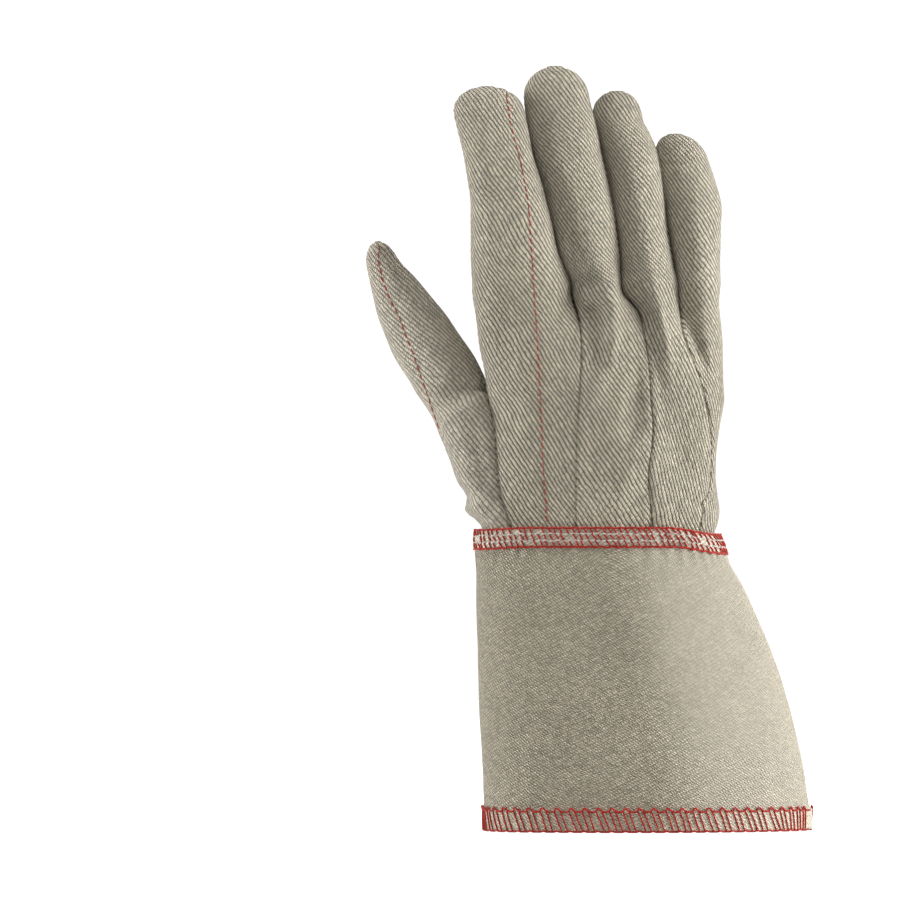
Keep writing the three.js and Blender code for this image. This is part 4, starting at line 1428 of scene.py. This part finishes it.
def tubes(name, paths, radius, material, slot):
    """Joins many tubes. Each path is (points, outward directions), with a row for each place along it."""
    mesh = Mesh()
    turn = np.linspace(0, 2 * math.pi, TUBE_SIDES + 1)
    for points, out in paths:
        ahead = unit(np.gradient(points, axis=0))
        side = unit(np.cross(ahead, out))
        up = np.cross(side, ahead)
        thick = np.full(len(points), radius, float)
        thick[[0, -1]] *= BLUNT
        ring = np.cos(turn)[None, :, None] * side[:, None] + np.sin(turn)[None, :, None] * up[:, None]
        grid = points[:, None] + ring * thick[:, None, None]
        way = way_along(points) / 1000
        cloth = np.stack(np.broadcast_arrays((turn / (2 * math.pi))[None, :], way[:, None]), -1)
        mesh.add(grid, cloth)
    print(name, "has", len(paths), "tubes")
    return finish_piece(mesh.make(name, material, 0), slot)


def bow(high, low, places, power=4):
    """A stitch's lift along its way: high in its middle, and low at its two ends."""
    return high - (high - low) * np.abs(np.linspace(-1, 1, places)) ** power


# %% [markdown]
# ## Quilting threads
#
# A line's places along X and Z are looked up on the shaped cloth and cut into stitches. On the palm,
# below the fork, a line may pass from one stretch of the cloth to the next.

# %% Quilting threads
QUILTING_STITCH = {"length": 3.6, "gap": 0.7, "places": 7, "first": 0.6}
QUILTING_LIFT = (0.2, -0.34)


def resample(line, at, way):
    return np.stack([np.interp(at, way, line[:, k]) for k in range(line.shape[1])], 1)


def sample_side(side, x, z):
    """The shaped surface and its outward direction at one place of a side, as six numbers."""
    row = float(np.interp(z, side.levels, np.arange(len(side.levels))))
    low = min(int(row), len(side.levels) - 2)
    points = mix(side.shaped[low], side.shaped[low + 1], row - low)
    out = mix(side.facing[low], side.facing[low + 1], row - low)
    order = np.argsort(points[:, 0])
    return resample(np.concatenate([points, out], 1)[order], [x], points[order, 0])[0]


def running_stitch(points, out):
    """Cuts a line on the cloth into stitches."""
    way = way_along(points)
    stitches, start = [], QUILTING_STITCH["first"]
    length, places = QUILTING_STITCH["length"], QUILTING_STITCH["places"]
    lift = bow(*QUILTING_LIFT, places)[:, None]
    while start + length < way[-1]:
        at = np.linspace(start, start + length * rng.uniform(0.92, 1.06), places)
        p, n = resample(points, at, way), resample(out, at, way)
        stitches.append((p + n * lift, n))
        start += length + QUILTING_STITCH["gap"] * rng.uniform(0.85, 1.15)
    return stitches


def palm_side_at(side, x, z):
    """The palm's stretch that lies at a place: above the fork it is the line's own finger."""
    for other in FINGER_NAMES if z < FORK else ():
        candidate = side_named(other, False)
        row = candidate.points[np.searchsorted(candidate.levels, z)]
        if row[:, 0].min() <= x <= row[:, 0].max():
            side = candidate
    return side


def quilting_line(name, on_back, line, step=1.0):
    """Points and outward directions along a quilting line, about one step apart."""
    side = side_named(name, on_back)
    line = np.array(line, float)
    way = way_along(line)
    places = resample(line, np.linspace(0, way[-1], int(way[-1] / step) + 2), way)
    on_palm = not on_back and name != "thumb"
    found = [sample_side(palm_side_at(side, x, z) if on_palm else side, x, z) for x, z in places]
    found = np.array(found)
    return found[:, :3], unit(found[:, 3:])


quilting = []
for (name, on_back), line in QUILTING.items():
    quilting += running_stitch(*quilting_line(name, on_back, line))
tubes("quilting_thread", quilting, RADII["quilting"], red_thread, "hand_canvas")

# %% [markdown]
# ## Wrist band threads
#
# Slanting threads run down the band in three short steps. Two rows of white thread cross over them, and a
# thick thread with small knots runs along each edge. A thread's place is its way round the band and a
# height share.

# %% Wrist band threads
FINE = np.linspace(0, 360, 3601)  # degrees
AHEAD = 0.3  # degrees, to find which way is forward
BAND_MIDDLE = (BAND["bottom"] + BAND["top"]) / 2
BAND_WAY = way_along(cuff_point(FINE, BAND_MIDDLE, band_swell(0.5), BAND_MIDDLE - droop(FINE)))
LADDER = {"pitch": 2.9, "jitter": 0.16, "left out": 0.04, "places": 8, "lead": 1.8, "lift": (0.42, 0.02)}
LADDER_STEPS = ((0.99, 0.68), (0.66, 0.36), (0.34, 0.01))
WHITE_ROWS = (0.69, 0.33)
WHITE = {"end": 3.4, "length": (1.8, 3.2), "gap": (0.3, 1.0), "places": 7, "lift": (0.62, -0.13)}
LOOSE = 0.03  # how far a thread's ends stray from its height share
EDGES = ({"share": 1.0, "bump": 0.012, "swell": 0.0}, {"share": 0.0, "bump": 0.016, "swell": 0.035})
EDGE_KNOT = {"pitch": 5.1, "drift": 0.6, "drift length": 17, "sharpness": 8, "lift": 0.22}
EDGE_WAVE = {"pitch": 5.7, "drift length": 11}
EDGE_LIFT = {"mean": 0.2, "swing": 0.14, "pitch": 3.25}


def lifted(points, ahead, lift):
    """Points moved off the cloth, with the outward directions there."""
    out = unit(np.cross(ahead - points, [0, 0, 1.0]))
    return points + out * np.asarray(lift, float)[..., None], out


def band_place(way, share, lift):
    angle = np.interp(np.mod(way, BAND_WAY[-1]), BAND_WAY, FINE)
    level = mix(BAND["bottom"], BAND["top"], np.asarray(share, float))
    z = level - droop(angle)
    here, ahead = (cuff_point(a, level, band_swell(share), z) for a in (angle, angle + AHEAD))
    return lifted(here, ahead, lift)


def stray(size):
    return rng.uniform(-size, size)


def ladder_threads(total):
    threads = []
    count = int(total / LADDER["pitch"])
    starts = (np.arange(count) + rng.uniform(-LADDER["jitter"], LADDER["jitter"], count)) * total / count
    for start in starts:
        for top, bottom in LADDER_STEPS:
            if rng.uniform() < LADDER["left out"]:
                continue
            share = np.linspace(top + stray(LOOSE), bottom + stray(LOOSE), LADDER["places"])
            lean = rng.uniform(0.9, 1.9)
            way = start + LADDER["lead"] * (1 - top) + stray(0.3) + lean * (top - share) / (top - bottom)
            threads.append(band_place(way, share, bow(*LADDER["lift"], LADDER["places"])))
    return threads


def white_threads(total):
    threads = []
    for share in WHITE_ROWS:
        start = 0.0
        while start < total - WHITE["end"]:
            length = rng.uniform(*WHITE["length"])
            at = np.linspace(start, start + length, WHITE["places"])
            height = share + stray(LOOSE) + stray(LOOSE) * np.linspace(-1, 1, WHITE["places"])
            threads.append(band_place(at, height, bow(*WHITE["lift"], WHITE["places"])))
            start += length + rng.uniform(*WHITE["gap"])
    return threads


def edge_threads(total):
    """One long thread along each edge. It waves a little and stands out at its knots."""
    threads = []
    at = np.linspace(0, total, 1800)
    lift = EDGE_LIFT["mean"] + EDGE_LIFT["swing"] * np.sin(2 * math.pi * at / EDGE_LIFT["pitch"])
    for edge in EDGES:
        drift = EDGE_KNOT["drift"] * np.sin(at / EDGE_KNOT["drift length"])
        turn = math.pi * at / EDGE_KNOT["pitch"] + edge["share"] + drift
        knot = np.abs(np.sin(turn)) ** EDGE_KNOT["sharpness"]
        wave = np.sin(2 * math.pi * at / EDGE_WAVE["pitch"] + np.sin(at / EDGE_WAVE["drift length"]))
        height = edge["share"] + edge["bump"] * wave - edge["swell"] * knot
        threads.append(band_place(at, height, lift + EDGE_KNOT["lift"] * knot))
    return threads


round_band = BAND_WAY[-1]
tubes("band_red_thread", ladder_threads(round_band), RADII["stitch"], red_thread, "band_canvas")
tubes("band_white_thread", white_threads(round_band), RADII["white"], white_thread, "band_canvas")
tubes("band_edge_thread", edge_threads(round_band), RADII["edge"], red_thread, "band_canvas")

# %% [markdown]
# ## Hem threads
#
# The hem is overlocked: a thread runs along its top with a knot every few millimetres, and two threads
# slant down from each knot and round the raw edge, under which one more thread runs. Towards the end of
# the stitches the knots come closer together. Share 1 is the stitches' top, 0 the raw edge, and below 0 a
# thread turns under the edge.

# %% Hem threads
HEM_STITCH = 9.2  # the height of the stitches
HEM_WAY = way_along(cuff_point(FINE, CUFF_BOTTOM + 5.0, HEM_PROUD))
HEM_START = 1
HEM_END = 9
UNDER = {"in": 2.2, "down": 6, "most": 0.6}
KNOTS = {"period": (6.6, 4.4), "lean": (3.6, 0.4), "second thread": 0.42}
TIGHT = {"from": 34, "over": 22}  # the way left to the end of the stitches
SLANT = {"end": -0.6, "places": 18, "lift": 0.22, "bow": 0.1}
TOP_LINE = {"lift": 0.34, "on knots": 0.3}
UNDER_LINE = {"share": -0.12, "wave": 0.08, "lift": 0.12}
KNOT_OUTLINE = ((0.0, 1.0), (0.1, 1.14), (0.22, 1.17), (0.36, 1.06), (0.55, 0.98), (0.8, 0.97))


def hem_place(way, share, lift):
    angle = np.interp(np.mod(way, HEM_WAY[-1]), HEM_WAY, FINE)
    share = np.asarray(share, float)
    level = CUFF_BOTTOM + HEM_STITCH * np.clip(share, 0, 2)
    under = np.clip(-share, 0, 1)
    here, ahead = (cuff_point(a, level, HEM_PROUD) for a in (angle, angle + AHEAD))
    points, out = lifted(here, ahead, lift - under * UNDER["in"])
    points[..., 2] -= np.minimum(under * UNDER["down"], UNDER["most"])
    return points, out


def slant_threads(total):
    """The pairs of slanting threads, and where their knots are."""
    threads, knots = [], [HEM_START]
    while knots[-1] < total - HEM_END:
        start = knots[-1]
        tight = float(smooth((TIGHT["from"] - (total - start)) / TIGHT["over"]))
        period = mix(*KNOTS["period"], tight) * rng.uniform(0.93, 1.07)
        lean = mix(*KNOTS["lean"], tight) + stray(0.5)
        for offset in (0.0, period * KNOTS["second thread"]):
            share = np.linspace(1.0, SLANT["end"], SLANT["places"])
            way = start + offset + lean * (1 - np.clip(share, 0, 1)) ** rng.uniform(0.85, 1.25)
            lift = SLANT["lift"] + SLANT["bow"] * np.sin(math.pi * np.clip(share, 0, 1))
            threads.append(hem_place(way, share, lift))
        knots.append(start + period)
    return threads, knots


def line_threads(total, knots):
    """The thread that links the knots, and the one under the raw edge."""
    steps, heights = np.array(KNOT_OUTLINE).T
    knots = np.array(knots)
    places = (knots[:-1, None] + np.diff(knots)[:, None] * steps).reshape(-1)
    at = np.linspace(HEM_START, total - HEM_END + 4, 2600)
    share = np.interp(at, places, np.tile(heights, len(knots) - 1))
    top_lift = TOP_LINE["lift"] + TOP_LINE["on knots"] * smooth((share - 1.02) / 0.12)
    wave = UNDER_LINE["wave"] * np.sin(2 * math.pi * at / KNOTS["period"][0])
    under = hem_place(at, UNDER_LINE["share"] - wave, UNDER_LINE["lift"])
    return [hem_place(at, share, top_lift), under]


slants, knots = slant_threads(HEM_WAY[-1])
tubes("hem_slant_thread", slants, RADII["stitch"], red_thread, "cuff_canvas")
tubes("hem_line_thread", line_threads(HEM_WAY[-1], knots), RADII["hem line"], red_thread, "cuff_canvas")

# %% [markdown]
# ## Floor
#
# The glove stands over white paper that is bright enough to fade into the white behind it.

# %% Floor
FLOOR_LEVEL = -0.1402
FLOOR_REACH = 12.0
FLOOR_GLOW = (0.1, 1.1)  # towards the scene and towards the camera


def paper_material():
    material = bpy.data.materials.new("white paper")
    material.use_nodes = True
    shader = material.node_tree.nodes["Principled BSDF"]
    shader.inputs["Base Color"].default_value = (0.8, 0.8, 0.8, 1)
    shader.inputs["Roughness"].default_value = 0.9
    shader.inputs["Specular IOR Level"].default_value = 0.1
    shader.inputs["Emission Color"].default_value = (1, 1, 1, 1)
    g = Graph(material.node_tree)
    seen = g.node("ShaderNodeLightPath").outputs["Is Camera Ray"]
    g.put(g.range(seen, 0.0, 1.0, *FLOOR_GLOW), shader.inputs["Emission Strength"])
    return material


def build_floor():
    mesh = bpy.data.meshes.new("floor")
    ends = ((-1, -1), (1, -1), (1, 1), (-1, 1))
    corners = [(x * FLOOR_REACH, y * FLOOR_REACH, FLOOR_LEVEL) for x, y in ends]
    mesh.from_pydata(corners, [], [(0, 1, 2, 3)])
    mesh.materials.append(paper_material())
    thing = bpy.data.objects.new("floor", mesh)
    bpy.context.scene.collection.objects.link(thing)


build_floor()
print("floor at", FLOOR_LEVEL)

# %% [markdown]
# ## Light
#
# The softbox on the right is the strongest, the one on the left shows the weave, and one above lights the
# fingertips. A weak warm light comes from all round.

# %% Light
SOFTBOXES = {
    "right softbox": {"place": (2.0, -0.3, 0.45), "target": (0.02, 0, 0.02), "size": (1.0, 1.8), "power": 58},
    "left softbox": {"place": (-2.0, -0.1, 0.35), "target": (0, 0, 0.05), "size": (0.8, 1.6), "power": 38},
    "top softbox": {"place": (0.0, -0.3, 2.0), "target": (0, 0, 0.08), "size": (1.4, 0.8), "power": 17},
}
AIR_GLOW = (0.05, 1.1)
AIR_COLOUR = (1.0, 0.84, 0.6, 1.0)
WHITE_BEHIND = (1.0, 1.0, 1.0, 1.0)


def build_softbox(name, place, target, size, power):
    data = bpy.data.lights.new(name, "AREA")
    data.shape = "RECTANGLE"
    data.size, data.size_y = size
    data.energy = power
    thing = bpy.data.objects.new(name, data)
    thing.location = place
    thing.rotation_euler = (Vector(target) - Vector(place)).to_track_quat("-Z", "Y").to_euler()
    bpy.context.scene.collection.objects.link(thing)


def build_air():
    """Soft light from all round. The camera itself sees white there."""
    world = bpy.data.worlds.new("studio")
    bpy.context.scene.world = world
    world.use_nodes = True
    g = Graph(world.node_tree)
    seen = g.node("ShaderNodeLightPath").outputs["Is Camera Ray"]
    background = world.node_tree.nodes["Background"]
    g.put(g.mix_colour(seen, AIR_COLOUR, WHITE_BEHIND), background.inputs["Color"])
    g.put(g.range(seen, 0.0, 1.0, *AIR_GLOW), background.inputs["Strength"])


for name, softbox in SOFTBOXES.items():
    build_softbox(name, **softbox)
build_air()
print("softboxes:", {name: softbox["power"] for name, softbox in SOFTBOXES.items()})

# %% [markdown]
# ## Camera
#
# The camera looks along +Y from far off, so that the glove hardly tapers.

# %% Camera
def build_camera(place, lens, sensor=36):
    data = bpy.data.cameras.new("camera")
    data.sensor_width = sensor
    data.lens = lens
    data.clip_start, data.clip_end = 0.1, 60
    camera = bpy.data.objects.new("camera", data)
    camera.location = place
    camera.rotation_euler = (math.pi / 2, 0, 0)
    bpy.context.scene.collection.objects.link(camera)
    bpy.context.scene.camera = camera


build_camera(place=(-0.0725, -6.0, 0.0432), lens=500)
bpy.context.scene.view_settings.view_transform = "Standard"
print("camera at", tuple(round(v, 4) for v in bpy.context.scene.camera.location))
